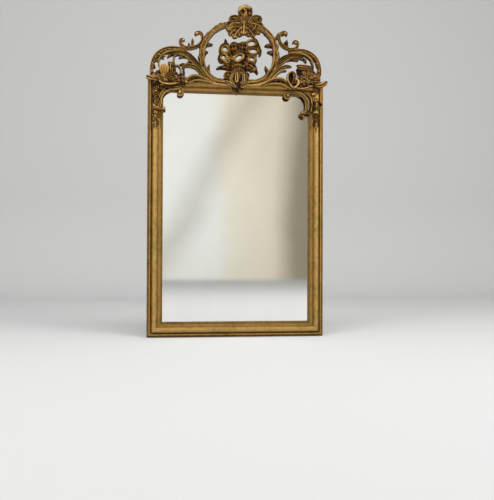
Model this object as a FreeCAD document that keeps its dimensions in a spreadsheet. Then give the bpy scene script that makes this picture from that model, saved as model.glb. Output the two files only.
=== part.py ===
import FreeCAD, Part
import math
import os
import Sketcher

# Gilt wall mirror with a pierced, carved crest.
# The frame stands on z = 0, its front faces -Y and the wall is on the +Y side.
# The origin is on the bottom face, half way across it and on the lap plane of the carcass.

DIMENSIONS = {
    # frame and carcass
    "frame_width": 770.0,
    "frame_height": 1126.0,
    "rail_face": 66.0,
    "carcass_depth": 24.0,
    "rebate_width": 8.0,
    # gilt moulding, across the face from the outer edge to the sight edge
    "edge_band": 6.5,
    "bead_width": 9.5,
    "groove_width": 5.0,
    "torus_width": 26.0,
    "hollow_width": 10.0,
    # gilt moulding, heights above its back
    "edge_rise": 6.0,
    "bead_foot": 9.0,
    "bead_rise": 15.0,
    "groove_rise": 7.5,
    "torus_foot": 12.0,
    "torus_rise": 26.0,
    "hollow_rise": 7.5,
    "lip_rise": 12.0,
    # pearl string on the sight lip
    "pearl_radius": 3.0,
    "pearl_neck": 0.9,
    "pearl_pitch": 8.6,
    # glass and what holds it
    "glass_thickness": 4.0,
    "glass_clearance": 1.5,
    "block_side": 10.0,
    "block_length": 45.0,
    "board_thickness": 7.0,
    "board_lap": 16.0,
    "board_gap": 1.0,
    "nail_radius": 1.1,
    "nail_length": 20.0,
    "nail_head_radius": 3.0,
    "nail_head_depth": 1.2,
    "nail_inset": 6.0,
    "nail_margin": 28.0,
    "hole_clearance": 0.15,
    # crest
    "crest_height": 327.0,
    "crest_board": 28.0,
    "applied_depth": 14.0,
    "seat_gap": 0.3,
    "ring_band": 25.0,
    "arch_band": 21.0,
    "frond_band": 15.0,
    "scroll_band": 14.0,
    "bud_band": 9.0,
    # battens behind the crest
    "batten_width": 30.0,
    "batten_lap": 40.0,
    "batten_reach": 66.0,
    "screw_radius": 2.2,
    "screw_head_radius": 4.2,
    "screw_head_depth": 2.4,
    "screw_length": 18.0,
    "crest_screw_length": 45.0,
    # hangers on the back of the stiles
    "hanger_drop": 266.0,
    "hanger_inset": 26.0,
    "strap_width": 18.0,
    "strap_length": 44.0,
    "strap_thickness": 1.5,
    "ring_wire": 1.75,
    "ring_clearance": 0.05,
    "ring_bow": 13.0,
    "ring_corner": 4.0,
    "knuckle_length": 12.0,
    "strap_screw_radius": 1.6,
    "strap_screw_head": 3.2,
    "strap_screw_head_depth": 1.3,
    "strap_screw_length": 12.0,
    "strap_screw_first": 10.0,
    "strap_screw_step": 18.0,
    "seat_relief": 0.2,
}

doc = FreeCAD.newDocument("gilt_mirror")
sheet = doc.addObject("Spreadsheet::Sheet", "dims")
for row, (alias, value) in enumerate(DIMENSIONS.items(), start=1):
    sheet.set("A%d" % row, alias)
    sheet.set("B%d" % row, repr(value))
    sheet.setAlias("B%d" % row, alias)
doc.recompute()

parts = []


class Size:
    """A length as a weighted sum of driving dimensions."""

    def __init__(self, weights):
        self.weights = weights

    def __add__(self, other):
        if not isinstance(other, Size):
            return self
        weights = dict(self.weights)
        for alias, weight in other.weights.items():
            weights[alias] = weights.get(alias, 0.0) + weight
        return Size(weights)

    __radd__ = __add__

    def __sub__(self, other):
        return self + (-other)

    def __neg__(self):
        return self * -1.0

    def __mul__(self, factor):
        return Size({alias: weight * factor for alias, weight in self.weights.items()})

    def __truediv__(self, factor):
        return self * (1.0 / factor)

    @property
    def value(self):
        return sum(DIMENSIONS[alias] * weight for alias, weight in self.weights.items())

    @property
    def text(self):
        """The expression, without the dimensions whose weight has cancelled out."""
        terms = ["dims.%s * %.9f" % (alias, weight) for alias, weight in self.weights.items()
                 if abs(weight) > NO_WEIGHT]
        return " + ".join(terms) or "dims.%s * 0" % next(iter(self.weights))


NO_WEIGHT = 1e-9


def size(alias):
    return Size({alias: 1.0})


def number(length):
    return length.value if isinstance(length, Size) else float(length)


ZERO = size("frame_width") * 0.0

# Planes across the depth of the mirror, front to back.
BACK_OF_MOULDING = -size("carcass_depth") / 2
BACK_OF_CARCASS = size("carcass_depth") / 2
BACK_OF_BOARDS = BACK_OF_CARCASS + size("board_thickness")
HALF_WIDTH = size("frame_width") / 2
SIGHT_HALF_WIDTH = HALF_WIDTH - size("rail_face")
CARCASS_FACE = size("rail_face") - size("rebate_width")
TOP = size("frame_height")


def bind(obj, prop, length):
    obj.setExpression(prop, length.text)


def place(obj, x=ZERO, y=ZERO, z=ZERO):
    bind(obj, "Placement.Base.x", x)
    bind(obj, "Placement.Base.y", y)
    bind(obj, "Placement.Base.z", z)


def finish(obj, label):
    """Give a sub-part its name and put it on the list of what is written."""
    obj.Label = label
    parts.append(obj)
    return obj


def new_body(name):
    return doc.addObject("PartDesign::Body", name)


def origin_plane(body, role):
    for feature in body.Origin.OriginFeatures:
        if feature.Role == role:
            return feature
    raise ValueError(role)


def new_sketch(body, role, offset=ZERO):
    sketch = body.newObject("Sketcher::SketchObject", body.Name + "_sketch")
    sketch.AttachmentSupport = [(origin_plane(body, role), "")]
    sketch.MapMode = "FlatFace"
    bind(sketch, "AttachmentOffset.Base.z", offset)
    return sketch


def vector(point):
    return FreeCAD.Vector(number(point[0]), number(point[1]), 0)


def hold(sketch, constraints, lengths):
    """Add constraints to a sketch in one go and bind the ones that have a length."""
    first = sketch.ConstraintCount
    sketch.addConstraint(constraints)
    for shift, length in enumerate(lengths):
        if length is not None:
            sketch.setExpression("Constraints[%d]" % (first + shift), length.text)


def at_point(geometry, position, point):
    """Constraints and lengths that hold one point of a sketch at a place."""
    constraints = [Sketcher.Constraint(kind, -1, 1, geometry, position, number(length))
                   for kind, length in zip(("DistanceX", "DistanceY"), point)]
    return constraints, list(point)


def add_loop(sketch, start, steps):
    """Close a loop of lines and three-point arcs, held by its own points.

    Each step is (end,) for a line or (middle, end) for an arc.
    """
    heres = [start] + [step[-1] for step in steps[:-1]]
    curves = []
    for here, step in zip(heres, steps):
        if len(step) == 1:
            curves.append(Part.LineSegment(vector(here), vector(step[-1])))
        else:
            curves.append(Part.Arc(vector(here), vector(step[0]), vector(step[-1])))
    indices = sketch.addGeometry(curves, False)
    middles = [Part.Point(vector(step[0])) for step in steps if len(step) == 2]
    marks = list(sketch.addGeometry(middles, True)) if middles else []
    constraints = []
    lengths = []
    ends = []
    for index, here, step in zip(indices, heres, steps):
        to_first, to_last = [(sketch.getPoint(index, end) - vector(here)).Length for end in (1, 2)]
        flipped = to_first > to_last
        head, tail = (2, 1) if flipped else (1, 2)
        ends.append(((index, head), (index, tail)))
        held, sizes = at_point(index, tail, step[-1])
        constraints += held
        lengths += sizes
        if len(step) == 2:
            mark = marks.pop(0)
            held, sizes = at_point(mark, 1, step[0])
            constraints += held + [Sketcher.Constraint("PointOnObject", mark, 1, index)]
            lengths += sizes + [None]
    for before, after in zip(ends[-1:] + ends[:-1], ends):
        constraints.append(Sketcher.Constraint("Coincident", *before[1], *after[0]))
        lengths.append(None)
    hold(sketch, constraints, lengths)


def add_circle(sketch, centre, radius):
    circle = Part.Circle(vector(centre), FreeCAD.Vector(0, 0, 1), number(radius))
    index = sketch.addGeometry(circle, False)
    constraints, lengths = at_point(index, 3, centre)
    constraints.append(Sketcher.Constraint("Radius", index, number(radius)))
    hold(sketch, constraints, lengths + [radius])


def rectangle(sketch, low, high):
    add_loop(sketch, low, [((high[0], low[1]),), (high,), ((low[0], high[1]),), (low,)])


def pad(body, sketch, length, reverse=False, both=False):
    feature = body.newObject("PartDesign::Pad", body.Name + "_pad")
    feature.Profile = sketch
    feature.Reversed = reverse
    feature.Midplane = both
    bind(feature, "Length", length)
    return feature


def pocket(body, sketch, length, reverse=False, both=False):
    feature = body.newObject("PartDesign::Pocket", body.Name + "_pocket")
    feature.Profile = sketch
    feature.Reversed = reverse
    feature.Midplane = both
    bind(feature, "Length", length)
    return feature


def box(name, low, high):
    block = doc.addObject("Part::Box", name)
    bind(block, "Length", high[0] - low[0])
    bind(block, "Width", high[1] - low[1])
    bind(block, "Height", high[2] - low[2])
    place(block, *low)
    return block


def rod_along_y(name, radius, front, back, x, z):
    """A round bar from y = front to y = back."""
    rod = doc.addObject("Part::Cylinder", name)
    bind(rod, "Radius", radius)
    bind(rod, "Height", back - front)
    rod.Placement = FreeCAD.Placement(FreeCAD.Vector(), FreeCAD.Rotation(FreeCAD.Vector(1, 0, 0), 90))
    place(rod, x, back, z)
    return rod


def group(name, members):
    fuse = doc.addObject("Part::MultiFuse", name)
    fuse.Shapes = members
    return fuse


# Carcass: four pine members, halved together at the corners.

def carcass_stile(side, label):
    body = new_body(label)
    outer = HALF_WIDTH * side
    inner = (HALF_WIDTH - CARCASS_FACE) * side
    section = new_sketch(body, "XY_Plane")
    rectangle(section, (outer, BACK_OF_MOULDING), (inner, BACK_OF_CARCASS))
    pad(body, section, TOP)
    for low in (ZERO, TOP - CARCASS_FACE):
        lap = new_sketch(body, "XY_Plane", low)
        rectangle(lap, (outer, ZERO), (inner, BACK_OF_CARCASS))
        pocket(body, lap, CARCASS_FACE, reverse=True)
    return body


def carcass_rail(low, label):
    body = new_body(label)
    section = new_sketch(body, "YZ_Plane")
    rectangle(section, (BACK_OF_MOULDING, low), (BACK_OF_CARCASS, low + CARCASS_FACE))
    pad(body, section, size("frame_width"), both=True)
    for left in (-HALF_WIDTH, HALF_WIDTH - CARCASS_FACE):
        lap = new_sketch(body, "YZ_Plane", left)
        rectangle(lap, (BACK_OF_MOULDING, low), (ZERO, low + CARCASS_FACE))
        pocket(body, lap, CARCASS_FACE, reverse=True)
    return body


# Gilt moulding: one section, four mitred lengths glued on the carcass.

def moulding_outline():
    """The section as (distance from the outer edge, height above the back) and arc middles."""
    bead_in = size("edge_band")
    groove_in = bead_in + size("bead_width")
    torus_in = groove_in + size("groove_width")
    hollow_in = torus_in + size("torus_width")
    lip_in = hollow_in + size("hollow_width")
    sight = size("rail_face")
    return (ZERO, ZERO), [
        ((ZERO, size("edge_rise")),),
        ((bead_in, size("bead_foot")),),
        ((bead_in + size("bead_width") / 2, size("bead_rise")), (groove_in, size("bead_foot"))),
        ((groove_in + size("groove_width") / 2, size("groove_rise")), (torus_in, size("bead_foot"))),
        ((torus_in, size("torus_foot")),),
        ((torus_in + size("torus_width") / 2, size("torus_rise")), (hollow_in, size("torus_foot"))),
        ((hollow_in, size("bead_foot")),),
        ((hollow_in + size("hollow_width") / 2, size("hollow_rise")), (lip_in, size("bead_foot"))),
        ((lip_in, size("lip_rise")),),
        ((sight, size("lip_rise")),),
        ((sight, ZERO),),
        ((ZERO, ZERO),),
    ]


def map_loop(outline, rule):
    start, steps = outline
    return rule(start), [tuple(rule(point) for point in step) for step in steps]


def moulding_stile(side, label):
    body = new_body(label)

    def across(point):
        return ((HALF_WIDTH - point[0]) * side, BACK_OF_MOULDING - point[1])

    section = new_sketch(body, "XY_Plane")
    add_loop(section, *map_loop(moulding_outline(), across))
    pad(body, section, TOP)
    face = size("rail_face")
    for corner, rise in ((ZERO, face), (TOP, -face)):
        cut = new_sketch(body, "XZ_Plane", -BACK_OF_MOULDING)
        outer = HALF_WIDTH * side
        inner = SIGHT_HALF_WIDTH * side
        add_loop(cut, (outer, corner), [((inner, corner),), ((inner, corner + rise),), ((outer, corner),)])
        pocket(body, cut, size("torus_rise") * 2, reverse=True)
    return body


def moulding_rail(bottom, label):
    body = new_body(label)
    edge = ZERO if bottom else TOP
    way = 1 if bottom else -1

    def across(point):
        return (BACK_OF_MOULDING - point[1], edge + point[0] * way)

    section = new_sketch(body, "YZ_Plane")
    add_loop(section, *map_loop(moulding_outline(), across))
    pad(body, section, size("frame_width"), both=True)
    rise = size("rail_face") * way
    for side in (-1, 1):
        cut = new_sketch(body, "XZ_Plane", -BACK_OF_MOULDING)
        outer = HALF_WIDTH * side
        inner = SIGHT_HALF_WIDTH * side
        add_loop(cut, (outer, edge), [((outer, edge + rise),), ((inner, edge + rise),), ((outer, edge),)])
        pocket(body, cut, size("torus_rise") * 2, reverse=True)
    return body


# Pearl strings: turned half-rounds, one run along each side of the sight lip.

BEAD_SHARES = ((0.2, 0.75), (0.5, 1.0), (0.8, 0.75))


def pearl_string(start, direction, length, label):
    """Half beads along a run: each bead's turned steps, swept through half a circle."""
    radius = number(size("pearl_radius"))
    neck = number(size("pearl_neck"))
    count = max(1, round(length / number(size("pearl_pitch"))))
    step = length / count
    side = FreeCAD.Vector(direction.z, 0, -direction.x)
    corners = [start, start + side * neck]
    for index in range(count):
        for along, out in BEAD_SHARES:
            reach = neck + (radius - neck) * out
            corners.append(start + direction * (step * (index + along)) + side * reach)
        corners.append(start + direction * (step * (index + 1)) + side * neck)
    corners += [start + direction * length, start]
    profile = Part.Face(Part.makePolygon(corners))
    string = doc.addObject("Part::Feature", label)
    string.Shape = profile.revolve(start, direction, -180)
    return string


def pearl_strings():
    y = number(BACK_OF_MOULDING - size("lip_rise"))
    inset = number(size("rail_face") - (size("rail_face") - size("torus_width") - size("hollow_width")
                   - size("groove_width") - size("bead_width") - size("edge_band")) / 2)
    x = number(HALF_WIDTH) - inset
    low = inset
    high = number(TOP) - inset
    spare = number(size("pearl_radius")) + number(size("seat_gap"))
    up = FreeCAD.Vector(0, 0, 1)
    along = FreeCAD.Vector(1, 0, 0)
    runs = (
        (FreeCAD.Vector(-x, y, low), up, high - low, "pearls_left"),
        (FreeCAD.Vector(x, y, low), up, high - low, "pearls_right"),
        (FreeCAD.Vector(-x + spare, y, high), along, 2 * (x - spare), "pearls_top"),
        (FreeCAD.Vector(-x + spare, y, low), along, 2 * (x - spare), "pearls_bottom"),
    )
    for start, direction, length, label in runs:
        finish(pearl_string(start, direction, length, label), label)


# Glass, the blocks behind it, and the backboards.

def mirror_glass():
    reach_x = SIGHT_HALF_WIDTH + size("rebate_width") - size("glass_clearance")
    low_z = CARCASS_FACE + size("glass_clearance")
    front = BACK_OF_MOULDING
    return box("glass_plate", (-reach_x, front, low_z),
               (reach_x, front + size("glass_thickness"), TOP - low_z))


BLOCK_SHARES_UP = (0.12, 0.5, 0.88)
BLOCK_SHARES_ACROSS = (0.25, 0.75)


def glazing_blocks():
    """Square blocks glued in the corner between the glass and the carcass."""
    front = BACK_OF_MOULDING + size("glass_thickness")
    back = front + size("block_side")
    side = size("block_side")
    half = size("block_length") / 2
    inner_x = HALF_WIDTH - CARCASS_FACE
    opening_z = TOP - CARCASS_FACE * 2
    blocks = []
    for share in BLOCK_SHARES_UP:
        z = CARCASS_FACE + opening_z * share
        blocks.append(box("block", (-inner_x, front, z - half), (side - inner_x, back, z + half)))
        blocks.append(box("block", (inner_x - side, front, z - half), (inner_x, back, z + half)))
    for share in BLOCK_SHARES_ACROSS:
        x = inner_x * (2 * share - 1)
        blocks.append(box("block", (x - half, front, CARCASS_FACE), (x + half, back, CARCASS_FACE + side)))
        high_z = TOP - CARCASS_FACE
        blocks.append(box("block", (x - half, front, high_z - side), (x + half, back, high_z)))
    return group("blocks", blocks)


BOARD_COUNT = 3
NAILS_PER_BOARD_END = 3


def board_edges(index):
    """Lowest and highest z of one backboard."""
    low = CARCASS_FACE - size("board_lap")
    tall = (TOP - low * 2 - size("board_gap") * (BOARD_COUNT - 1)) / BOARD_COUNT
    bottom = low + (tall + size("board_gap")) * index
    return bottom, bottom + tall


def board_half_width():
    return HALF_WIDTH - CARCASS_FACE + size("board_lap")


def nail_places(index):
    """Centres (x, z) of the nails along both ends of one backboard."""
    bottom, top = board_edges(index)
    x = board_half_width() - size("nail_inset")
    margin = size("nail_margin")
    run = top - bottom - margin * 2
    last = NAILS_PER_BOARD_END - 1
    heights = [bottom + margin + run * (step / last) for step in range(last + 1)]
    return [(x * side, z) for side in (-1, 1) for z in heights]


def bore(body, places, radius, start, depth):
    """Blind round holes along +Y to -Y: they start at y = start and go depth forward."""
    circles = new_sketch(body, "XZ_Plane", -start)
    for centre in places:
        add_circle(circles, centre, radius)
    pocket(body, circles, depth, reverse=True)


def backboard(index):
    body = new_body("backboard_%d" % (index + 1))
    bottom, top = board_edges(index)
    half = board_half_width()
    face = new_sketch(body, "XZ_Plane", -BACK_OF_BOARDS)
    rectangle(face, (-half, bottom), (half, top))
    pad(body, face, size("board_thickness"))
    gap = size("hole_clearance")
    bore(body, nail_places(index), size("nail_radius") + gap, BACK_OF_BOARDS, size("board_thickness"))
    bore(body, nail_places(index), size("nail_head_radius") + gap, BACK_OF_BOARDS, size("nail_head_depth"))
    return body


def pin_with_head(name, place_xz, back, shank, length, head, head_depth):
    """A nail or screw driven from the back, its head flush with the plane y = back."""
    x, z = place_xz
    stem = rod_along_y(name + "_stem", shank, back - length, back - head_depth, x, z)
    top = rod_along_y(name + "_head", head, back - head_depth, back, x, z)
    return group(name, [stem, top])


def backboard_nails():
    nails = []
    for index in range(BOARD_COUNT):
        for centre in nail_places(index):
            nails.append(pin_with_head("nail", centre, BACK_OF_BOARDS,
                                       size("nail_radius"), size("nail_length"),
                                       size("nail_head_radius"), size("nail_head_depth")))
    return group("nails", nails)


# Carved work. Its places are shares: x of half the frame's width, z of the crest's height
# above the top of the frame. The crest as carved leans to the right and rises to the right.

LEAN_SHARE = 0.11
RISE_SHARE = 0.028
AXIS_SHARE = 0.022
SPANDREL_RISE_SHARE = -0.022


def carved_point(side, shares, lean=LEAN_SHARE, rise=RISE_SHARE, axis=AXIS_SHARE):
    x = HALF_WIDTH * (shares[0] * side)
    z = size("crest_height") * shares[1]
    return (x + z * lean + HALF_WIDTH * axis, TOP + z + x * rise)


def plain_point(shares):
    return carved_point(1, shares, 0.0, 0.0, 0.0)


def blend(points, weights):
    """Weighted sum of points, each coordinate by itself."""
    return tuple(sum((point[axis] * weight for point, weight in zip(points, weights)), 0) for axis in (0, 1))


HALF_WAY_WEIGHTS = (-1 / 16, 9 / 16, 9 / 16, -1 / 16)
FLAT_ENOUGH = 1e-4


def arc_or_line(start, middle, end):
    """One outline step: an arc through the middle, or a line where the three are in line."""
    a, b, c = vector(start), vector(middle), vector(end)
    bulge = ((b - a).cross(c - a)).Length / (c - a).Length
    if bulge < FLAT_ENOUGH * (c - a).Length:
        return (end,)
    return (middle, end)


def smooth_loop(points):
    """A closed outline through the points, as arcs."""
    count = len(points)
    steps = []
    for index in range(count):
        around = [points[(index + shift) % count] for shift in (-1, 0, 1, 2)]
        steps.append(arc_or_line(around[1], blend(around, HALF_WAY_WEIGHTS), around[2]))
    return points[0], steps


def band_loop(points, start_width, end_width):
    """The outline of a band that follows the points and tapers from one width to the other."""
    count = len(points)
    padded = [points[0]] + list(points) + [points[-1]]
    line = []
    for index in range(count - 1):
        line.append(points[index])
        line.append(blend(padded[index:index + 4], HALF_WAY_WEIGHTS))
    line.append(points[-1])
    last = len(line) - 1
    left = []
    right = []
    tangents = []
    for index, here in enumerate(line):
        before = vector(line[max(index - 1, 0)])
        after = vector(line[min(index + 1, last)])
        tangent = (after - before).normalize()
        tangents.append(tangent)
        half = (start_width * (1 - index / last) + end_width * (index / last)) / 2
        left.append((here[0] - half * tangent.y, here[1] + half * tangent.x))
        right.append((here[0] + half * tangent.y, here[1] - half * tangent.x))
    tip = (line[-1][0] + end_width / 2 * tangents[-1].x, line[-1][1] + end_width / 2 * tangents[-1].y)
    tail = (line[0][0] - start_width / 2 * tangents[0].x, line[0][1] - start_width / 2 * tangents[0].y)
    steps = [arc_or_line(left[index], left[index + 1], left[index + 2]) for index in range(0, last, 2)]
    steps.append((tip, right[-1]))
    back = right[::-1]
    steps += [arc_or_line(back[index], back[index + 1], back[index + 2]) for index in range(0, last, 2)]
    steps.append((tail, left[0]))
    return left[0], steps


FRONT_OF_CREST = BACK_OF_MOULDING - size("crest_board")
FRONT_OF_APPLIED = FRONT_OF_CREST - size("applied_depth")


def carve(body, loops, back, front):
    """Pad a fretted outline from the plane y = back to the plane y = front."""
    outline = new_sketch(body, "XZ_Plane", -back)
    for loop in loops:
        add_loop(outline, *loop)
    pad(body, outline, back - front)


def scribe_over_rail(body):
    """Cut away what would lie inside the top moulding, its pearls and the seat's gap."""
    gap = size("seat_gap")
    bead_front = BACK_OF_MOULDING - size("bead_rise") - gap
    torus_front = BACK_OF_MOULDING - size("torus_rise") - gap
    pearl_front = BACK_OF_MOULDING - size("lip_rise") - size("pearl_radius") - gap
    groove_in = size("edge_band") + size("bead_width") + size("groove_width")
    hollow_in = groove_in + size("torus_width")
    behind = BACK_OF_CARCASS
    top = TOP + gap
    foot = TOP - size("rail_face") - gap
    cut = new_sketch(body, "YZ_Plane")
    add_loop(cut, (behind, top), [
        ((bead_front, top),),
        ((bead_front, TOP - groove_in + gap),),
        ((torus_front, TOP - groove_in - size("torus_width") / 2), (pearl_front, TOP - hollow_in - gap)),
        ((pearl_front, foot),),
        ((behind, foot),),
        ((behind, top),),
    ])
    pocket(body, cut, size("frame_width") * 2, both=True)


def scribe_over_stile(body, side):
    """Cut away what would lie inside a side moulding, its pearls and the seat's gap."""
    gap = size("seat_gap")
    bead_front = BACK_OF_MOULDING - size("bead_rise") - gap
    torus_front = BACK_OF_MOULDING - size("torus_rise") - gap
    pearl_front = BACK_OF_MOULDING - size("lip_rise") - size("pearl_radius") - gap
    groove_in = size("edge_band") + size("bead_width") + size("groove_width")
    hollow_in = groove_in + size("torus_width")
    behind = BACK_OF_CARCASS
    outer = (HALF_WIDTH + gap) * side
    inner = (SIGHT_HALF_WIDTH - gap) * side
    cut = new_sketch(body, "XY_Plane")
    add_loop(cut, (outer, behind), [
        ((outer, bead_front),),
        (((HALF_WIDTH - groove_in + gap) * side, bead_front),),
        (((HALF_WIDTH - groove_in - size("torus_width") / 2) * side, torus_front),
         ((HALF_WIDTH - hollow_in - gap) * side, pearl_front)),
        ((inner, pearl_front),),
        ((inner, behind),),
        ((outer, behind),),
    ])
    pocket(body, cut, TOP + gap, reverse=True)


RING_SHARES = (
    (0.0, -0.058), (0.166, -0.054), (0.314, 0.015), (0.405, 0.171), (0.431, 0.364), (0.390, 0.541),
    (0.247, 0.682), (0.0, 0.728),
)


def ring_line():
    right = [carved_point(1, shares) for shares in RING_SHARES]
    left = [carved_point(-1, shares) for shares in RING_SHARES[-2:0:-1]]
    return right + left


def offset_loop(points, distance):
    """The closed line through the points, moved sideways by a distance."""
    count = len(points)
    moved = []
    for index, here in enumerate(points):
        tangent = (vector(points[(index + 1) % count]) - vector(points[index - 1])).normalize()
        moved.append((here[0] + distance * tangent.y, here[1] - distance * tangent.x))
    return moved


RING_TIP_SHARES = (
    ((0.400, 0.44), (0.372, 0.418), (0.330, 0.425)),
    ((0.410, 0.35), (0.385, 0.365), (0.362, 0.395)),
    ((0.345, 0.09), (0.325, 0.13), (0.318, 0.18)),
)


def crest_ring():
    """Oval band with three leaf tips on each inner side."""
    body = new_body("crest_ring")
    half = size("ring_band") / 2
    line = ring_line()
    carve(body, [smooth_loop(offset_loop(line, half))], BACK_OF_MOULDING, FRONT_OF_CREST)
    opening = new_sketch(body, "XZ_Plane", -FRONT_OF_CREST)
    add_loop(opening, *smooth_loop(offset_loop(line, -half)))
    pocket(body, opening, size("crest_board"))
    for side in (-1, 1):
        for shares in RING_TIP_SHARES:
            tip = [carved_point(side, pair) for pair in shares]
            leaf = band_loop(tip, size("bud_band"), size("bud_band") / 2)
            carve(body, [leaf], BACK_OF_MOULDING, FRONT_OF_CREST)
    scribe_over_rail(body)
    return body


ARCH_SHARES = (
    (0.424, 0.022), (0.480, 0.178), (0.575, 0.300), (0.688, 0.368), (0.815, 0.354), (0.915, 0.274),
    (0.955, 0.110), (0.951, -0.018),
)
UPPER_SCROLL_SHARES = (
    (0.506, 0.584), (0.462, 0.608), (0.442, 0.518), (0.502, 0.410), (0.592, 0.376), (0.660, 0.432),
    (0.639, 0.508),
)
BUD_SHARES = ((0.585, 0.315), (0.556, 0.395), (0.548, 0.46), (0.538, 0.526))
FROND_SHARES = ((0.395, 0.050), (0.460, 0.109), (0.542, 0.160), (0.621, 0.174), (0.673, 0.147))
LOW_LEAF_SHARES = ((0.345, -0.020), (0.426, 0.009), (0.494, 0.015), (0.548, -0.009), (0.600, -0.040))
HANGING_LEAF_SHARES = (
    ((0.800, 0.350), (0.790, 0.290), (0.815, 0.235)),
    ((0.700, 0.350), (0.735, 0.300), (0.760, 0.255)),
    ((0.900, 0.250), (0.880, 0.190), (0.885, 0.130)),
)
ARCH_ROOT_SHARES = (
    (0.600, -0.050), (0.625, 0.060), (0.690, 0.185), (0.800, 0.200), (0.900, 0.080), (0.975, -0.020),
    (0.860, -0.052), (0.700, -0.060),
)


def crest_wing(side, label, ring, batten):
    """Arch, upper scroll with its bud, fronds and root of one side, fitted against the ring."""
    body = new_body(label + "_blank")
    bands = (
        (ARCH_SHARES, "arch_band", "frond_band"),
        (UPPER_SCROLL_SHARES, "scroll_band", "scroll_band"),
        (BUD_SHARES, "scroll_band", "bud_band"),
        (FROND_SHARES, "frond_band", "bud_band"),
        (LOW_LEAF_SHARES, "frond_band", "arch_band"),
    ) + tuple((shares, "scroll_band", "bud_band") for shares in HANGING_LEAF_SHARES)
    root = [carved_point(side, pair) for pair in ARCH_ROOT_SHARES]
    carve(body, [smooth_loop(root)], BACK_OF_MOULDING, FRONT_OF_CREST)
    for shares, start_width, end_width in bands:
        line = [carved_point(side, pair) for pair in shares]
        carve(body, [band_loop(line, size(start_width), size(end_width))], BACK_OF_MOULDING, FRONT_OF_CREST)
    scribe_over_rail(body)
    drill_for_batten(body, batten, True)
    return fitted(label + "_shape", body, ring)


def fitted(name, blank, neighbour):
    """The blank with its neighbour's solid taken out, so that the two meet face to face."""
    cut = doc.addObject("Part::Cut", name)
    cut.Base = blank
    cut.Tool = neighbour
    return cut


CARTOUCHE_SHARES = (
    (-0.125, 0.540), (-0.080, 0.480), (0.040, 0.545), (0.120, 0.528), (0.225, 0.545), (0.240, 0.460),
    (0.288, 0.385), (0.250, 0.240), (0.225, 0.150), (0.240, 0.085), (0.150, 0.120), (0.085, 0.010),
    (0.010, -0.030), (-0.080, 0.010), (-0.120, 0.110), (-0.222, 0.130), (-0.160, 0.215), (-0.215, 0.290),
    (-0.200, 0.400),
)
CARTOUCHE_HOLE_SHARES = (
    (-0.122, 0.402, 0.047), (-0.135, 0.278, 0.038), (0.028, 0.268, 0.056),
    (0.182, 0.476, 0.040), (0.205, 0.372, 0.053), (0.185, 0.272, 0.035),
)


def cartouche(ring):
    """Pierced rocaille plate on the ring's axis."""
    body = new_body("cartouche_blank")
    outline = [plain_point(pair) for pair in CARTOUCHE_SHARES]
    carve(body, [smooth_loop(outline)], BACK_OF_MOULDING, FRONT_OF_CREST)
    holes = new_sketch(body, "XZ_Plane", -FRONT_OF_CREST)
    for x, z, radius in CARTOUCHE_HOLE_SHARES:
        add_circle(holes, plain_point((x, z)), size("crest_height") * radius)
    pocket(body, holes, size("crest_board"))
    scribe_over_rail(body)
    drill_for_batten(body, BATTEN_SHARES[1], True)
    return fitted("cartouche_shape", body, ring)


PALMETTE_SHARES = (
    (0.000, 0.520), (0.070, 0.540), (0.125, 0.530), (0.180, 0.585), (0.200, 0.650), (0.170, 0.710),
    (0.150, 0.770), (0.080, 0.790), (0.000, 0.785),
)
FINIAL_SHARES = (
    (0.000, 0.755), (0.100, 0.766), (0.178, 0.770), (0.184, 0.826), (0.085, 0.840), (0.058, 0.868),
    (0.090, 0.930), (0.056, 0.988), (0.000, 1.000),
)


def mirrored_loop(table):
    """A closed outline from the right half of a figure on the crest's leaning axis."""
    right = [carved_point(1, pair) for pair in table]
    left = [carved_point(-1, pair) for pair in table[-2:0:-1]]
    return smooth_loop(right + left)


def palmette():
    body = new_body("palmette")
    carve(body, [mirrored_loop(PALMETTE_SHARES)], FRONT_OF_CREST, FRONT_OF_APPLIED)
    return body


def finial(below):
    body = new_body("finial_blank")
    carve(body, [mirrored_loop(FINIAL_SHARES)], FRONT_OF_CREST, FRONT_OF_APPLIED)
    return fitted("finial_shape", body, below)


FOOT_SHARES = (
    (0.015, 0.125), (-0.060, 0.090), (-0.066, 0.010), (-0.022, -0.034), (-0.020, -0.120), (0.006, -0.190),
    (0.040, -0.120), (0.042, -0.032), (0.100, 0.000), (0.090, 0.088),
)


def cartouche_foot():
    body = new_body("cartouche_foot")
    carve(body, [smooth_loop([plain_point(pair) for pair in FOOT_SHARES])], FRONT_OF_CREST, FRONT_OF_APPLIED)
    return body


LEFT_FOLIAGE_SHARES = (
    (-1.022, 0.000), (-0.950, 0.030), (-0.908, 0.110), (-0.860, 0.190), (-0.780, 0.178), (-0.735, 0.236),
    (-0.665, 0.200), (-0.642, 0.060), (-0.665, -0.060), (-0.780, -0.090), (-0.900, -0.082), (-0.985, -0.045),
)
RIGHT_FOLIAGE_SHARES = (
    (1.060, 0.012), (1.038, 0.042), (0.990, 0.010), (0.940, 0.075), (0.900, 0.210), (0.800, 0.226),
    (0.700, 0.162), (0.595, 0.125), (0.575, 0.030), (0.605, -0.075), (0.720, -0.130), (0.860, -0.122),
    (0.970, -0.085), (1.030, -0.040),
)
RIBBON_HOLE_SHARES = ((0.634, 0.080), (0.612, 0.035), (0.634, -0.005), (0.656, 0.035))


def corner_foliage(table, label, hole=None):
    body = new_body(label)
    loops = [smooth_loop([plain_point(pair) for pair in table])]
    if hole:
        loops.append(smooth_loop([plain_point(pair) for pair in hole]))
    carve(body, loops, FRONT_OF_CREST, FRONT_OF_APPLIED)
    return body


SPANDREL_SHARES = (
    (0.642, -0.236), (0.600, -0.262), (0.612, -0.184), (0.715, -0.178), (0.802, -0.258), (0.830, -0.368),
    (0.800, -0.440), (0.760, -0.414),
)


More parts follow.
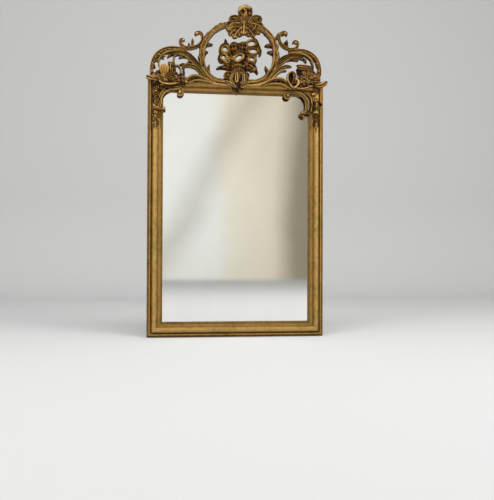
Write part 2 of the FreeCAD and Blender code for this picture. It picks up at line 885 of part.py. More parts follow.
def spandrel_scroll(side, label):
    """C-scroll on an upper corner of the sight edge, its volutes hanging over the glass."""
    body = new_body(label)
    line = [carved_point(side, pair, 0.0, SPANDREL_RISE_SHARE, 0.0) for pair in SPANDREL_SHARES]
    back = BACK_OF_MOULDING - size("lip_rise")
    carve(body, [band_loop(line, size("scroll_band"), size("scroll_band"))], back, FRONT_OF_CREST)
    scribe_over_rail(body)
    scribe_over_stile(body, side)
    return body


DROP_SHARES = (
    (0.955, -0.105), (0.868, -0.105), (0.864, -0.190), (0.886, -0.255), (0.867, -0.340), (0.882, -0.470),
    (0.904, -0.590), (0.924, -0.690), (0.948, -0.590), (0.952, -0.480), (0.966, -0.400), (0.952, -0.320),
    (0.972, -0.230),
)


def stile_drop(side, label, above):
    """Flower and leaf drop down the face of one stile, under the corner foliage."""
    body = new_body(label + "_blank")
    loop = smooth_loop([carved_point(side, pair, 0.0, 0.0, 0.0) for pair in DROP_SHARES])
    back = BACK_OF_MOULDING - size("lip_rise")
    carve(body, [loop], back, FRONT_OF_CREST - size("applied_depth") / 2)
    scribe_over_stile(body, side)
    scribe_over_rail(body)
    return fitted(label + "_shape", body, above)


# Battens behind the crest: rebated over the back of the top rail.

BATTEN_SHARES = (-0.740, 0.030, 0.790)
BATTEN_RAIL_SCREW_SHARE = 0.5
BATTEN_CREST_SCREW_SHARES = (0.35, 0.75)


def batten_screw_places(x):
    low = TOP - size("batten_lap") * BATTEN_RAIL_SCREW_SHARE
    high = [TOP + size("batten_reach") * share for share in BATTEN_CREST_SCREW_SHARES]
    return [(x, low)] + [(x, z) for z in high]


def crest_batten(share, label):
    body = new_body(label)
    x = HALF_WIDTH * share
    half = size("batten_width") / 2
    section = new_sketch(body, "YZ_Plane", x)
    low = TOP - size("batten_lap")
    high = TOP + size("batten_reach")
    add_loop(section, (BACK_OF_BOARDS, low), [
        ((BACK_OF_CARCASS, low),),
        ((BACK_OF_CARCASS, TOP),),
        ((BACK_OF_MOULDING, TOP),),
        ((BACK_OF_MOULDING, high),),
        ((BACK_OF_BOARDS, high),),
        ((BACK_OF_BOARDS, low),),
    ])
    pad(body, section, half * 2, both=True)
    gap = size("hole_clearance")
    whole = BACK_OF_BOARDS - BACK_OF_MOULDING
    bore(body, batten_screw_places(x), size("screw_radius") + gap, BACK_OF_BOARDS, whole)
    bore(body, batten_screw_places(x), size("screw_head_radius") + gap, BACK_OF_BOARDS,
         size("screw_head_depth"))
    return body


def batten_screws():
    crest_back = BACK_OF_BOARDS
    screws = []
    for share in BATTEN_SHARES:
        places = batten_screw_places(HALF_WIDTH * share)
        lengths = [size("screw_length")] + [size("crest_screw_length")] * len(BATTEN_CREST_SCREW_SHARES)
        for centre, length in zip(places, lengths):
            screws.append(pin_with_head("screw", centre, crest_back, size("screw_radius"), length,
                                        size("screw_head_radius"), size("screw_head_depth")))
    return group("screws", screws)


def drill_for_batten(body, share, into_crest):
    """Holes for one batten's screws, in the top rail or in the crest in front of it."""
    gap = size("hole_clearance")
    places = batten_screw_places(HALF_WIDTH * share)
    if into_crest:
        depth = size("crest_screw_length") - (BACK_OF_BOARDS - BACK_OF_MOULDING)
        bore(body, places[1:], size("screw_radius") + gap, BACK_OF_MOULDING, depth + gap)
    else:
        depth = size("screw_length") - size("board_thickness")
        bore(body, places[:1], size("screw_radius") + gap, BACK_OF_CARCASS, depth + gap)


# Hangers: a strap screwed to each stile, and a ring that swings in its rolled end.

HANGER_X = HALF_WIDTH - size("hanger_inset")
EYE_Y = (BACK_OF_CARCASS + size("seat_relief") + size("strap_thickness")
         + size("ring_clearance") + size("ring_wire"))
EYE_Z = TOP - size("hanger_drop")


def strap_screw_places(side):
    x = HANGER_X * side
    first = EYE_Z + size("strap_screw_first")
    return [(x, first), (x, first + size("strap_screw_step"))]


def hanger_strap(side, label):
    """Flat plate on the stile with its lower end rolled into an eye."""
    body = new_body(label)
    x = HANGER_X * side
    half = size("strap_width") / 2
    outer = size("ring_wire") + size("ring_clearance") + size("strap_thickness")
    plate = new_sketch(body, "XZ_Plane", -BACK_OF_CARCASS)
    rectangle(plate, (x - half, EYE_Z), (x + half, EYE_Z + size("strap_length")))
    pad(body, plate, size("strap_thickness"), reverse=True)
    knuckle = new_sketch(body, "YZ_Plane", x)
    add_circle(knuckle, (EYE_Y, EYE_Z), outer)
    pad(body, knuckle, size("knuckle_length"), both=True)
    eye = new_sketch(body, "YZ_Plane", x)
    add_circle(eye, (EYE_Y, EYE_Z), size("ring_wire") + size("ring_clearance"))
    pocket(body, eye, size("strap_width") * 2, both=True)
    back = BACK_OF_CARCASS + size("strap_thickness")
    bore(body, strap_screw_places(side), size("strap_screw_radius") + size("hole_clearance"), back,
         size("strap_thickness"))
    return body


DIAGONAL = math.sqrt(0.5)


def hanging_ring(side, label):
    """D-shaped ring of round wire: its straight side turns in the eye, its bow hangs down."""
    body = new_body(label)
    x = HANGER_X * side
    bow = size("ring_bow")
    corner = size("ring_corner")
    flat = bow - corner
    shoulder = flat + corner * DIAGONAL
    fall = EYE_Z - corner + corner * DIAGONAL
    spine = new_sketch(body, "XZ_Plane", -EYE_Y)
    add_loop(spine, (x - flat, EYE_Z), [
        ((x + flat, EYE_Z),),
        ((x + shoulder, fall), (x + bow, EYE_Z - corner)),
        ((x, EYE_Z - corner - bow), (x - bow, EYE_Z - corner)),
        ((x - shoulder, fall), (x - flat, EYE_Z)),
    ])
    wire = new_sketch(body, "YZ_Plane", x)
    add_circle(wire, (EYE_Y, EYE_Z), size("ring_wire"))
    pipe = body.newObject("PartDesign::AdditivePipe", body.Name + "_pipe")
    pipe.Profile = wire
    pipe.Spine = (spine, ["Edge1", "Edge2", "Edge3", "Edge4"])
    return body


def strap_screws():
    back = BACK_OF_CARCASS + size("strap_thickness") + size("strap_screw_head_depth")
    screws = []
    for side in (-1, 1):
        for centre in strap_screw_places(side):
            screws.append(pin_with_head("strap_screw", centre, back, size("strap_screw_radius"),
                                        size("strap_screw_length"), size("strap_screw_head"),
                                        size("strap_screw_head_depth")))
    return group("strap_screw_set", screws)


def drill_for_hanger(body, side):
    gap = size("hole_clearance")
    depth = size("strap_screw_length") - size("strap_thickness") - size("strap_screw_head_depth")
    bore(body, strap_screw_places(side), size("strap_screw_radius") + gap, BACK_OF_CARCASS, depth + gap)


def drill_for_nails(body, side):
    centres = [centre for index in range(BOARD_COUNT) for centre in nail_places(index)]
    places = [centre for centre in centres if centre[0].value * side > 0]
    depth = size("nail_length") - size("board_thickness") + size("hole_clearance")
    bore(body, places, size("nail_radius") + size("hole_clearance"), BACK_OF_CARCASS, depth)


def build_frame():
    for side, name in ((-1, "left"), (1, "right")):
        stile = carcass_stile(side, "carcass_stile_" + name)
        drill_for_nails(stile, side)
        drill_for_hanger(stile, side)
        finish(stile, "carcass_stile_" + name)
        finish(moulding_stile(side, "moulding_" + name), "moulding_" + name)
    finish(carcass_rail(ZERO, "carcass_rail_bottom"), "carcass_rail_bottom")
    top_rail = carcass_rail(TOP - CARCASS_FACE, "carcass_rail_top")
    for share in BATTEN_SHARES:
        drill_for_batten(top_rail, share, False)
    finish(top_rail, "carcass_rail_top")
    finish(moulding_rail(True, "moulding_bottom"), "moulding_bottom")
    finish(moulding_rail(False, "moulding_top"), "moulding_top")
    pearl_strings()


def build_glazing():
    finish(mirror_glass(), "mirror_glass")
    finish(glazing_blocks(), "glazing_blocks")
    for index in range(BOARD_COUNT):
        finish(backboard(index), "backboard_%d" % (index + 1))
    finish(backboard_nails(), "backboard_nails")


def build_crest():
    ring = finish(crest_ring(), "crest_ring")
    foliage = {
        -1: finish(corner_foliage(LEFT_FOLIAGE_SHARES, "corner_foliage_left"), "corner_foliage_left"),
        1: finish(corner_foliage(RIGHT_FOLIAGE_SHARES, "corner_foliage_right", RIBBON_HOLE_SHARES),
                  "corner_foliage_right"),
    }
    for side, name, batten in ((-1, "left", BATTEN_SHARES[0]), (1, "right", BATTEN_SHARES[2])):
        finish(crest_wing(side, "crest_wing_" + name, ring, batten), "crest_wing_" + name)
        finish(spandrel_scroll(side, "spandrel_scroll_" + name), "spandrel_scroll_" + name)
        finish(stile_drop(side, "stile_drop_" + name, foliage[side]), "stile_drop_" + name)
    finish(cartouche(ring), "crest_cartouche")
    finish(cartouche_foot(), "cartouche_foot")
    crown = finish(palmette(), "palmette")
    finish(finial(crown), "finial")
    for share, name in zip(BATTEN_SHARES, ("left", "centre", "right")):
        finish(crest_batten(share, "crest_batten_" + name), "crest_batten_" + name)
    finish(batten_screws(), "batten_screws")


def build_hangers():
    for side, name in ((-1, "left"), (1, "right")):
        finish(hanger_strap(side, "hanger_strap_" + name), "hanger_strap_" + name)
        finish(hanging_ring(side, "hanging_ring_" + name), "hanging_ring_" + name)
    finish(strap_screws(), "strap_screws")


def check_and_write():
    doc.recompute()
    for obj in doc.Objects:
        if "Invalid" in obj.State or "Error" in obj.State:
            raise RuntimeError("%s did not build: %s" % (obj.Label, obj.State))
    for part in parts:
        if part.Shape.isNull() or not part.Shape.isValid():
            raise RuntimeError("%s has no valid shape" % part.Label)
    os.makedirs("parts", exist_ok=True)
    for part in parts:
        part.Shape.exportStep("parts/%s.step" % part.Label)
        bounds = part.Shape.BoundBox
        print("%-24s solids %2d  volume %11.1f  x %7.1f %7.1f  y %6.1f %6.1f  z %7.1f %7.1f" % (
            part.Label, len(part.Shape.Solids), part.Shape.Volume,
            bounds.XMin, bounds.XMax, bounds.YMin, bounds.YMax, bounds.ZMin, bounds.ZMax))


build_frame()
build_glazing()
build_crest()
build_hangers()
check_and_write()
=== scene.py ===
import math
import bpy
import numpy as np
from mathutils import Matrix, Vector


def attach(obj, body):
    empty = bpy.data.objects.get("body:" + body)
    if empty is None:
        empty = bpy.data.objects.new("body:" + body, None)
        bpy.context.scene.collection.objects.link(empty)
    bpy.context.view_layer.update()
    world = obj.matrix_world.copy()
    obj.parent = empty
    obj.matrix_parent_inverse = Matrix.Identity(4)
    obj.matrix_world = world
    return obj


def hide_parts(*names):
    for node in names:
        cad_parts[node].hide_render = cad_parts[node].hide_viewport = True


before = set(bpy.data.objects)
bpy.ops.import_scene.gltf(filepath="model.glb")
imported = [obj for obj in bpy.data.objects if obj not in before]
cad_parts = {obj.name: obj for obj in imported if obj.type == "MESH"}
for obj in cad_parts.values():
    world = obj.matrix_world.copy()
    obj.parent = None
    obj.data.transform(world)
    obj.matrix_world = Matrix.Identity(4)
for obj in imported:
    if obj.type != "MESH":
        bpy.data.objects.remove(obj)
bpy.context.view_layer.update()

# The camera. Carved work is laid out by pixels of the picture, cast onto a plane of the mirror.

IMAGE_WIDTH = 494
IMAGE_HEIGHT = 500
FOCAL_PIXELS = 614.0
SENSOR = 36.0
CAMERA_AT = Vector((-0.2608, -2.6823, 0.3412))
YAW = math.radians(6.596)
PITCH = math.radians(0.779)
ROLL = math.radians(0.199)

camera_turn = (Matrix.Rotation(-YAW, 3, "Z") @ Matrix.Rotation(math.pi / 2 + PITCH, 3, "X")
               @ Matrix.Rotation(ROLL, 3, "Z"))


def spot(pixel, y):
    """Where the ray through a pixel meets the plane at depth y, as (x, z)."""
    ray = camera_turn @ Vector((pixel[0] - IMAGE_WIDTH / 2, IMAGE_HEIGHT / 2 - pixel[1], -FOCAL_PIXELS))
    hit = CAMERA_AT + ray * ((y - CAMERA_AT.y) / ray.y)
    return hit.x, hit.z


def spots(pixels, y):
    return np.array([spot(pixel, y) for pixel in pixels])


# Planes of the carved work, as y in millimetres.

MM = 0.001
BOARD_BACK = -13.5
BOARD_FRONT = -40
RAIL_FRONT = -38.5
APPLIED_FRONT = -53.5
SPANDREL_BACK = -24.5
DROP_BACK = -30
DROP_FRONT = -46.5
MM_PER_PIXEL = 4.33

# Painted shade of a form's walls, of its back and of the back of a flower, which are darker than its front.

WALL_SHADE = 0.22
HEEL_SHADE = 0.34
FLOWER_BACK_SHADE = 0.05

# Overlapping forms of one carving end in back planes this far apart, so that no two of them coincide.

BACK_STEP = 0.05 * MM
BACK_STEPS = 64

# How finely the forms are divided: along a line, along a band or a leaf, and across each lobe, rib or petal.

SAMPLES_PER_SPAN = 24
BAND_STEP = 2.2 * MM
FEWEST_BAND_ROWS = 16
FEWEST_LEAF_ROWS = 22
ROWS_PER_LOBE = 10
COLUMNS_PER_RIB = 8
ACROSS = np.linspace(-1, 1, 21)

# What all bands share, and the share of a form's height at which its wall starts to draw in.

LEAST_HALF_WIDTH = 0.4 * MM
RIPPLE = 0.1
RIPPLE_LENGTH = 5.5 * MM
WALL_SHARE = 0.35
SPLIT_ANGLE = math.radians(62)

# What all leaves share, as shares of the length or of the half width.

LEAF_WIDEST = 0.42
LEAF_LEAN = 0.35
CURL_FROM = 0.55
VEIN_WIDTH = 0.15
GROOVE_AT = 0.32
GROOVE_WIDTH = 0.11
PETAL_ROUNDING = 0.6

# Cross sections of a band: place across it, and height as a share of its crown.

SECTIONS = {
    "round": ((-1.0, 0.0), (-0.9, 0.45), (-0.6, 0.82), (0.0, 1.0), (0.6, 0.82), (0.9, 0.45), (1.0, 0.0)),
    "strands": ((-1.0, 0.0), (-0.93, 0.62), (-0.78, 0.9), (-0.55, 0.15), (-0.3, 1.0), (-0.02, 0.2),
                (0.24, 0.98), (0.5, 0.12), (0.74, 0.86), (0.93, 0.5), (1.0, 0.0)),
    "double": ((-1.0, 0.0), (-0.9, 0.7), (-0.55, 1.0), (-0.2, 0.6), (0.0, 0.08), (0.2, 0.5), (0.55, 0.9),
               (0.9, 0.6), (1.0, 0.0)),
}


def pairs(points):
    """Points given as x and y in turn, or as pairs, as rows of two."""
    return np.reshape(points, (-1, 2)).astype(float)


def curve(points, count=None):
    """A smooth line through the points, evenly spaced, and its length; without a count, at the band's step."""
    ends = np.vstack([2 * points[0] - points[1], points, 2 * points[-1] - points[-2]])
    fine = []
    for index in range(len(points) - 1):
        a, b, c, d = ends[index:index + 4]
        for t in np.linspace(0, 1, SAMPLES_PER_SPAN, endpoint=False):
            fine.append(0.5 * (2 * b + (c - a) * t + (2 * a - 5 * b + 4 * c - d) * t ** 2
                               + (3 * b - a - 3 * c + d) * t ** 3))
    fine = np.array(fine + [points[-1]])
    run = np.concatenate([[0], np.cumsum(np.linalg.norm(np.diff(fine, axis=0), axis=1))])
    wanted = np.linspace(0, run[-1], count or max(FEWEST_BAND_ROWS, int(run[-1] / BAND_STEP)))
    return np.stack([np.interp(wanted, run, fine[:, axis]) for axis in range(fine.shape[1])], -1), run[-1]


def inward(points, centre, amount):
    """The pixels moved towards a centre by an amount."""
    points = pairs(points)
    away = np.array(centre) - points
    return points + away * amount / np.linalg.norm(away, axis=1, keepdims=True)


def around(x, y, steps, across=1, down=1):
    """Pixels at steps from a pixel, scaled across and down; a negative scale turns them over."""
    return np.array((x, y)) + pairs(steps) * (across, down)


def side_of(line):
    """Unit tangents and left-hand normals of a line of points."""
    tangent = np.gradient(line, axis=0)
    tangent /= np.maximum(np.linalg.norm(tangent, axis=1, keepdims=True), 1e-9)
    return tangent, np.stack([-tangent[:, 1], tangent[:, 0]], -1)


def upright(flat, y):
    """Points (x, z) with their depth y put between."""
    return np.stack([flat[..., 0], y + 0 * flat[..., 0], flat[..., 1]], -1)


def add_mesh(name, points, faces, material):
    """A smooth mesh in the scene."""
    mesh = bpy.data.meshes.new(name)
    mesh.from_pydata(points, [], faces)
    mesh.update()
    mesh.polygons.foreach_set("use_smooth", [True] * len(faces))
    mesh.materials.append(material)
    piece = bpy.data.objects.new(name, mesh)
    bpy.context.collection.objects.link(piece)
    return piece


class Carving:
    """Collects the closed forms of one carving, with the painted light of each vertex from 0, painted shade in a
    recess, to 1, painted highlight on a ridge.

    Back and front planes are y in millimetres. Lines and centres are pixels of the picture. Widths and radii are
    millimetres, and so is a form's out, by which it stands before the front plane. Tone and bright scale the
    painted highlight and shade.
    """

    def __init__(self, back, front, tone=1):
        self.back = back * MM
        self.front = front * MM
        self.tone = tone
        self.forms = 0
        self.points = []
        self.faces = []
        self.relief_shade = []

    def add(self, grid, relief_shade):
        """One grid of vertices that closes round from its last column to its first; the number of its first."""
        rows, columns = relief_shade.shape
        base = len(self.points)
        self.points += [tuple(point) for point in grid.reshape(-1, 3)]
        self.relief_shade += list(relief_shade.reshape(-1))
        for row in range(base, base + (rows - 1) * columns, columns):
            for column in range(columns):
                right = (column + 1) % columns
                self.faces.append((row + column, row + right, row + columns + right, row + columns + column))
        return base

    def own_back(self, back):
        """The back plane of the next form."""
        self.forms += 1
        return back - BACK_STEP * (self.forms % BACK_STEPS)

    def ring_tube(self, rings, relief_shade):
        """A tube of closed rings with both ends capped."""
        base = self.add(rings, relief_shade)
        rows, columns = relief_shade.shape
        last = base + (rows - 1) * columns
        self.faces.append(tuple(range(base, base + columns)))
        self.faces.append(tuple(range(last + columns - 1, last - 1, -1)))

    def relief_sheet(self, flat, front, relief_shade, back, undercut=0.82):
        """A carved front over a flat back: rows run along the form and columns across it."""
        back = self.own_back(back)
        middle = flat.mean(axis=1, keepdims=True)
        face = upright(flat, front)
        wall = upright(flat, front + (back - front) * WALL_SHARE)
        heel = upright(middle + (flat - middle) * undercut, back)
        ring = np.concatenate([face, wall[:, -1:], heel[:, -1:], heel[:, :1], wall[:, :1]], axis=1)
        # Painted shade on the walls and on the back of each form.
        sides = np.broadcast_to((WALL_SHADE, HEEL_SHADE, HEEL_SHADE, WALL_SHADE), (len(flat), 4))
        self.ring_tube(ring, np.concatenate([relief_shade, sides], axis=1))

    def band(self, points, widths, out, bright=1, section="double", crown=0.6, flip=False, ends=(True, True),
             back=0):
        """A carved band along a line, with one width for all points or one for each; back thins it from behind."""
        points = pairs(points)
        front = self.front - out * MM
        back = self.back - back * MM
        halves = (np.zeros(len(points)) + widths) * MM / 2
        samples, length = curve(np.column_stack([spots(points, front), halves]))
        count = len(samples)
        line = samples[:, :2]
        half = np.maximum(samples[:, 2], LEAST_HALF_WIDTH)
        normal = side_of(line)[1]
        run = np.linspace(0, length, count)
        close = np.ones(count)
        for rounded, away in zip(ends, (run, length - run)):
            if rounded:
                close = np.minimum(close, np.sqrt(np.clip(1 - (1 - np.clip(away / half, 0, 1)) ** 2, 0.002, 1)))
        shape = np.interp(ACROSS, *np.array(SECTIONS[section]).T)
        if flip:
            shape = shape[::-1]
        places = line[:, None, :] + normal[:, None, :] * (half * close)[:, None, None] * ACROSS[None, :, None]
        height = (back - front) * ((1 - crown) + crown * shape * close[:, None])
        ripple = 1 + RIPPLE * np.sin(run[:, None] / RIPPLE_LENGTH + 3 * ACROSS)
        # Painted light: the band's ridges are painted lighter, its edges and furrows darker.
        relief_shade = np.clip((0.10 + 0.86 * shape) * ripple, 0, 1)
        self.relief_sheet(places, back - height, relief_shade * bright, back)

    def rod(self, *form, **options):
        """A band of round section."""
        self.band(*form, section="round", **options)

    def hoop(self, centre, hole, width, out, tilt=0, bright=1):
        """A closed round band; hole gives the half width and half height of its opening in pixels."""
        reach = width / 2 / MM_PER_PIXEL
        turn = math.radians(tilt)
        points = []
        for step in range(13):
            angle = 2 * math.pi * step / 12
            x, y = (hole[0] + reach) * math.cos(angle), (hole[1] + reach) * math.sin(angle)
            points += [centre[0] + x * math.cos(turn) + y * math.sin(turn),
                       centre[1] - x * math.sin(turn) + y * math.cos(turn)]
        self.rod(points, width, out, bright, crown=0.7, ends=(False, False))

    def leaf(self, points, width, lobes, out, power=2.2, bright=1, curl=0.5, deep=0.34, thick=0.36, blunt=0.35,
             back=0):
        """An acanthus leaf along its midrib: lobed edges, ribs to each lobe and a curled tip.

        A high power keeps it wide towards the tip, blunt is its width at the root, deep the depth of its notches,
        thick its height in a recess, and back thins it from behind.
        """
        front = self.front - out * MM
        back = self.back - back * MM
        count = max(FEWEST_LEAF_ROWS, lobes * ROWS_PER_LOBE)
        line = curve(spots(pairs(points), front), count)[0]
        tangent, normal = side_of(line)
        u = np.linspace(0, 1, count)[:, None]
        v = ACROSS[None, :]
        phase = (u * lobes) % 1.0
        tooth = np.sin(np.pi * phase) ** 0.65
        rise = np.sin(np.pi / 2 * np.clip(u / LEAF_WIDEST, 0, 1))
        fall = np.clip((u - LEAF_WIDEST) / (1 - LEAF_WIDEST), 0, 1)
        envelope = (blunt + (1 - blunt) * rise) * np.clip(1 - fall ** power, 0, 1) ** 0.6 + 0.015
        half = width * MM / 2
        reach = v * half * envelope * ((1 - deep) + deep * tooth)
        forward = LEAF_LEAN * half * np.abs(v) ** 1.5 * envelope * (1 - u)
        places = (line[:, None, :] + normal[:, None, :] * reach[..., None]
                  + tangent[:, None, :] * forward[..., None])
        rib = (0.5 + 0.5 * np.cos(2 * np.pi * (phase - 0.5))) * np.abs(v) ** 0.7
        vein = np.exp(-(v / VEIN_WIDTH) ** 2)
        groove = np.exp(-((np.abs(v) - GROOVE_AT) / GROOVE_WIDTH) ** 2)
        camber = 1 - np.abs(v) ** 2.4
        # Painted light: the midrib, ribs and curled tip are painted lighter, the grooves and edges darker.
        relief_shade = np.clip(0.34 * camber + 0.44 * rib + 0.40 * vein - 0.34 * groove, 0, 1)
        lift = curl * np.clip((u - CURL_FROM) / (1 - CURL_FROM), 0, 1) ** 1.6
        high = np.clip(thick + (0.8 - thick) * relief_shade + 0.2 * lift, 0, 1)
        edge = 1 - 0.35 * np.abs(v) ** 6
        shade = np.clip(1.15 * relief_shade - 0.06 + 0.25 * lift, 0, 1)
        self.relief_sheet(places, back - (back - front) * high * edge, shade * bright, back, 0.9)

    def pillow(self, points, edge, out, shade, count=56):
        """A low swelling form between carved leaves, in a closed smooth outline; edge is where its rim stands, and
        shade is its painted shade at the rim and its painted highlight on the crown.
        """
        points = pairs(points)
        edge = self.front - edge * MM
        front = self.front - out * MM
        line = curve(spots(np.vstack([points, points[:1]]), front), count + 1)[0][:-1]
        middle = line.mean(axis=0)
        rings = [upright(line, self.own_back(self.back))]
        tones = [np.full(count, HEEL_SHADE)]
        for share in (1.0, 0.94, 0.8, 0.6, 0.36, 0.12):
            rise = math.sqrt(1 - share ** 2)
            rings.append(upright(middle + (line - middle) * share, edge + (front - edge) * rise))
            tones.append(np.full(count, shade[0] + (shade[1] - shade[0]) * rise))
        self.ring_tube(np.array(rings), np.array(tones))

    def shell(self, centre, toward, spread, radius, lobes, out, bright):
        """A hollow shell: ribs that open from a centre towards an angle."""
        front = self.front - out * MM
        columns = lobes * COLUMNS_PER_RIB + 1
        off_axis = np.linspace(-1, 1, columns)[:, None]
        angle = math.radians(toward) + math.radians(spread) * off_axis / 2
        r = np.linspace(0.12, 1, 16)[None, :]
        bump = np.abs(np.sin(np.pi * (np.linspace(0, lobes, columns)[:, None] % 1.0))) ** PETAL_ROUNDING
        reach = r * radius * MM * (1 - 0.14 * off_axis ** 2) * (1 - 0.05 * r ** 2 * (1 - bump))
        places = spot(centre, front) + np.stack([np.cos(angle) * reach, np.sin(angle) * reach], -1)
        # Painted light: lighter towards the rim and on each rib.
        relief_shade = np.clip((0.35 + 0.65 * r ** 1.4) * (0.58 + 0.42 * bump), 0, 1)
        high = (self.back - front) * (0.35 + 0.65 * relief_shade)
        self.relief_sheet(places, self.back - high, relief_shade * bright, self.back, 0.94)

    def rosette(self, centre, radius, out, petals=5, squash=1, bright=1, hole=0, boss=0.36):
        """A flower head of petals round a boss, or round a hole."""
        front = self.front - out * MM
        columns = petals * COLUMNS_PER_RIB
        angle = np.linspace(0, 2 * math.pi, columns, endpoint=False)[None, :]
        r = np.linspace(hole or 0.02, 1, 14)[:, None]
        phase = np.linspace(0, petals, columns, endpoint=False)[None, :] % 1.0
        bump = np.abs(np.sin(np.pi * phase)) ** PETAL_ROUNDING
        reach = r * radius * MM * (1 - 0.22 * r ** 2 * (1 - bump))
        places = spot(centre, front) + np.stack([np.cos(angle) * reach, np.sin(angle) * reach * squash], -1)
        back = self.own_back(self.back)
        # Painted light: lighter on the petals and the boss, with painted shade on the flower's back.
        petal = np.sin(np.pi * np.clip((r - boss) / (1.08 - boss), 0, 1)) ** PETAL_ROUNDING * (0.5 + 0.5 * bump)
        dome = 0 * r if hole else np.sqrt(np.clip(1 - (r / boss) ** 2, 0, 1))
        relief_shade = np.clip(np.maximum(petal * 0.85, dome), 0, 1)
        rows = np.concatenate([upright(places, back - (back - front) * (0.3 + 0.7 * relief_shade)),
                               upright(places, back)[::-1]])
        shade = np.concatenate([relief_shade * bright, np.full(relief_shade.shape, FLOWER_BACK_SHADE)])
        if hole:
            self.add(np.concatenate([rows, rows[:1]]), np.concatenate([shade, shade[:1]]))
        else:
            self.ring_tube(rows, shade)

    def ball(self, centre, radius, out):
        """A round berry or the eye of a volute, with a shallow turn cut round it."""
        y = self.front - out * MM
        polar = np.linspace(0.06, math.pi - 0.06, 12)[:, None]
        turn = np.linspace(0, 2 * math.pi, 20, endpoint=False)[None, :]
        size = radius * MM * (1 - 0.06 * np.exp(-((polar - 0.9) / 0.16) ** 2))
        flat = spot(centre, y) + np.stack([size * np.sin(polar) * np.cos(turn),
                                           size * np.sin(polar) * np.sin(turn)], -1)
        # Painted light: the ball is painted lighter at the front and darker towards the back.
        relief_shade = np.clip(0.72 - polar / 2.8, 0.1, 1) + 0 * turn
        self.ring_tube(upright(flat, y - size * np.cos(polar)), relief_shade)

    def each(self, form, rows, options):
        for row in rows:
            form(*row, **options)

    def bands(self, rows, **options):
        self.each(self.band, rows, options)

    def rods(self, rows, **options):
        self.each(self.rod, rows, options)

    def hoops(self, rows, **options):
        self.each(self.hoop, rows, options)

    def leaves(self, rows, **options):
        self.each(self.leaf, rows, options)

    def rosettes(self, rows, **options):
        self.each(self.rosette, rows, options)

    def build(self, name):
        piece = add_mesh(name, self.points, self.faces, GILT)
        # The painted highlight and shade are kept on the mesh as a vertex attribute.
        relief_shade = piece.data.attributes.new("relief_shade", "FLOAT", "POINT")
        relief_shade.data.foreach_set("value", np.clip(np.array(self.relief_shade) * self.tone, 0, 1).astype(np.float32))
        piece.modifiers.new("edges", "EDGE_SPLIT").split_angle = SPLIT_ANGLE
        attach(piece, "frame")
        return piece


# Materials.

def srgb(red, green, blue):
    """A colour seen on the screen, 0 to 255, as linear light."""
    return tuple((channel / 255) ** 2.2 for channel in (red, green, blue)) + (1.0,)


class Graph:
    """The nodes of a material or of the world, added one by one."""

    def __init__(self, tree):
        self.nodes = tree.nodes
        self.links = tree.links

    def fill(self, node, inputs):
        """Sets or links a node's inputs by name or number."""
        for name, value in inputs.items():
            if isinstance(value, bpy.types.NodeSocket):
                self.links.new(value, node.inputs[name])
            else:
                node.inputs[name].default_value = value

    def add(self, kind, output, inputs, **settings):
        """One output of a new node."""
        node = self.nodes.new("ShaderNode" + kind)
        for name, value in settings.items():
            setattr(node, name, value)
        self.fill(node, inputs)
        return node.outputs[output]

    def place(self):
        return self.add("TexCoord", "Object", {})

    def split(self, vector):
        node = self.nodes.new("ShaderNodeSeparateXYZ")
        self.fill(node, {"Vector": vector})
        return node.outputs

    def noise(self, place, scale, detail=4.0):
        return self.add("TexNoise", "Fac", {"Vector": place, "Scale": scale, "Detail": detail, "Roughness": 0.55})

    def ramp(self, source, *stops):
        node = self.nodes.new("ShaderNodeValToRGB")
        elements = node.color_ramp.elements
        while len(elements) < len(stops):
            elements.new(0.5)
        for element, (place, colour) in zip(elements, stops):
            element.position = place
            element.color = colour
        self.fill(node, {"Fac": source})
        return node.outputs["Color"]

    def step(self, source, low, high):
        return self.ramp(source, (low, BLACK), (high, WHITE))

    def maths(self, operation, first, second=0.0):
        return self.add("Math", "Value", {0: first, 1: second}, operation=operation)

    def mix(self, share, first, second, blend="MIX"):
        return self.add("Mix", 2, {"Factor": share, 6: first, 7: second}, data_type="RGBA", blend_type=blend)

    def span(self, source, low, high, to_low=0.0, to_high=1.0):
        return self.add("MapRange", "Result", {"Value": source, "From Min": low, "From Max": high,
                                               "To Min": to_low, "To Max": to_high})

    def bump(self, height, strength, distance):
        return self.add("Bump", "Normal", {"Height": height, "Strength": strength, "Distance": distance})


def new_material(name):
    material = bpy.data.materials.new(name)
    material.use_nodes = True
    return material, Graph(material.node_tree), material.node_tree.nodes["Principled BSDF"]


BLACK = (0, 0, 0, 1)
WHITE = (1, 1, 1, 1)
GOLD_HIGHLIGHT = srgb(228, 203, 150)
GOLD = srgb(188, 153, 92)
GOLD_OLD = srgb(142, 106, 50)
GOLD_DULL = srgb(92, 63, 24)
BOLE = srgb(112, 58, 28)
UMBER_AND_SHADE = srgb(36, 20, 6)


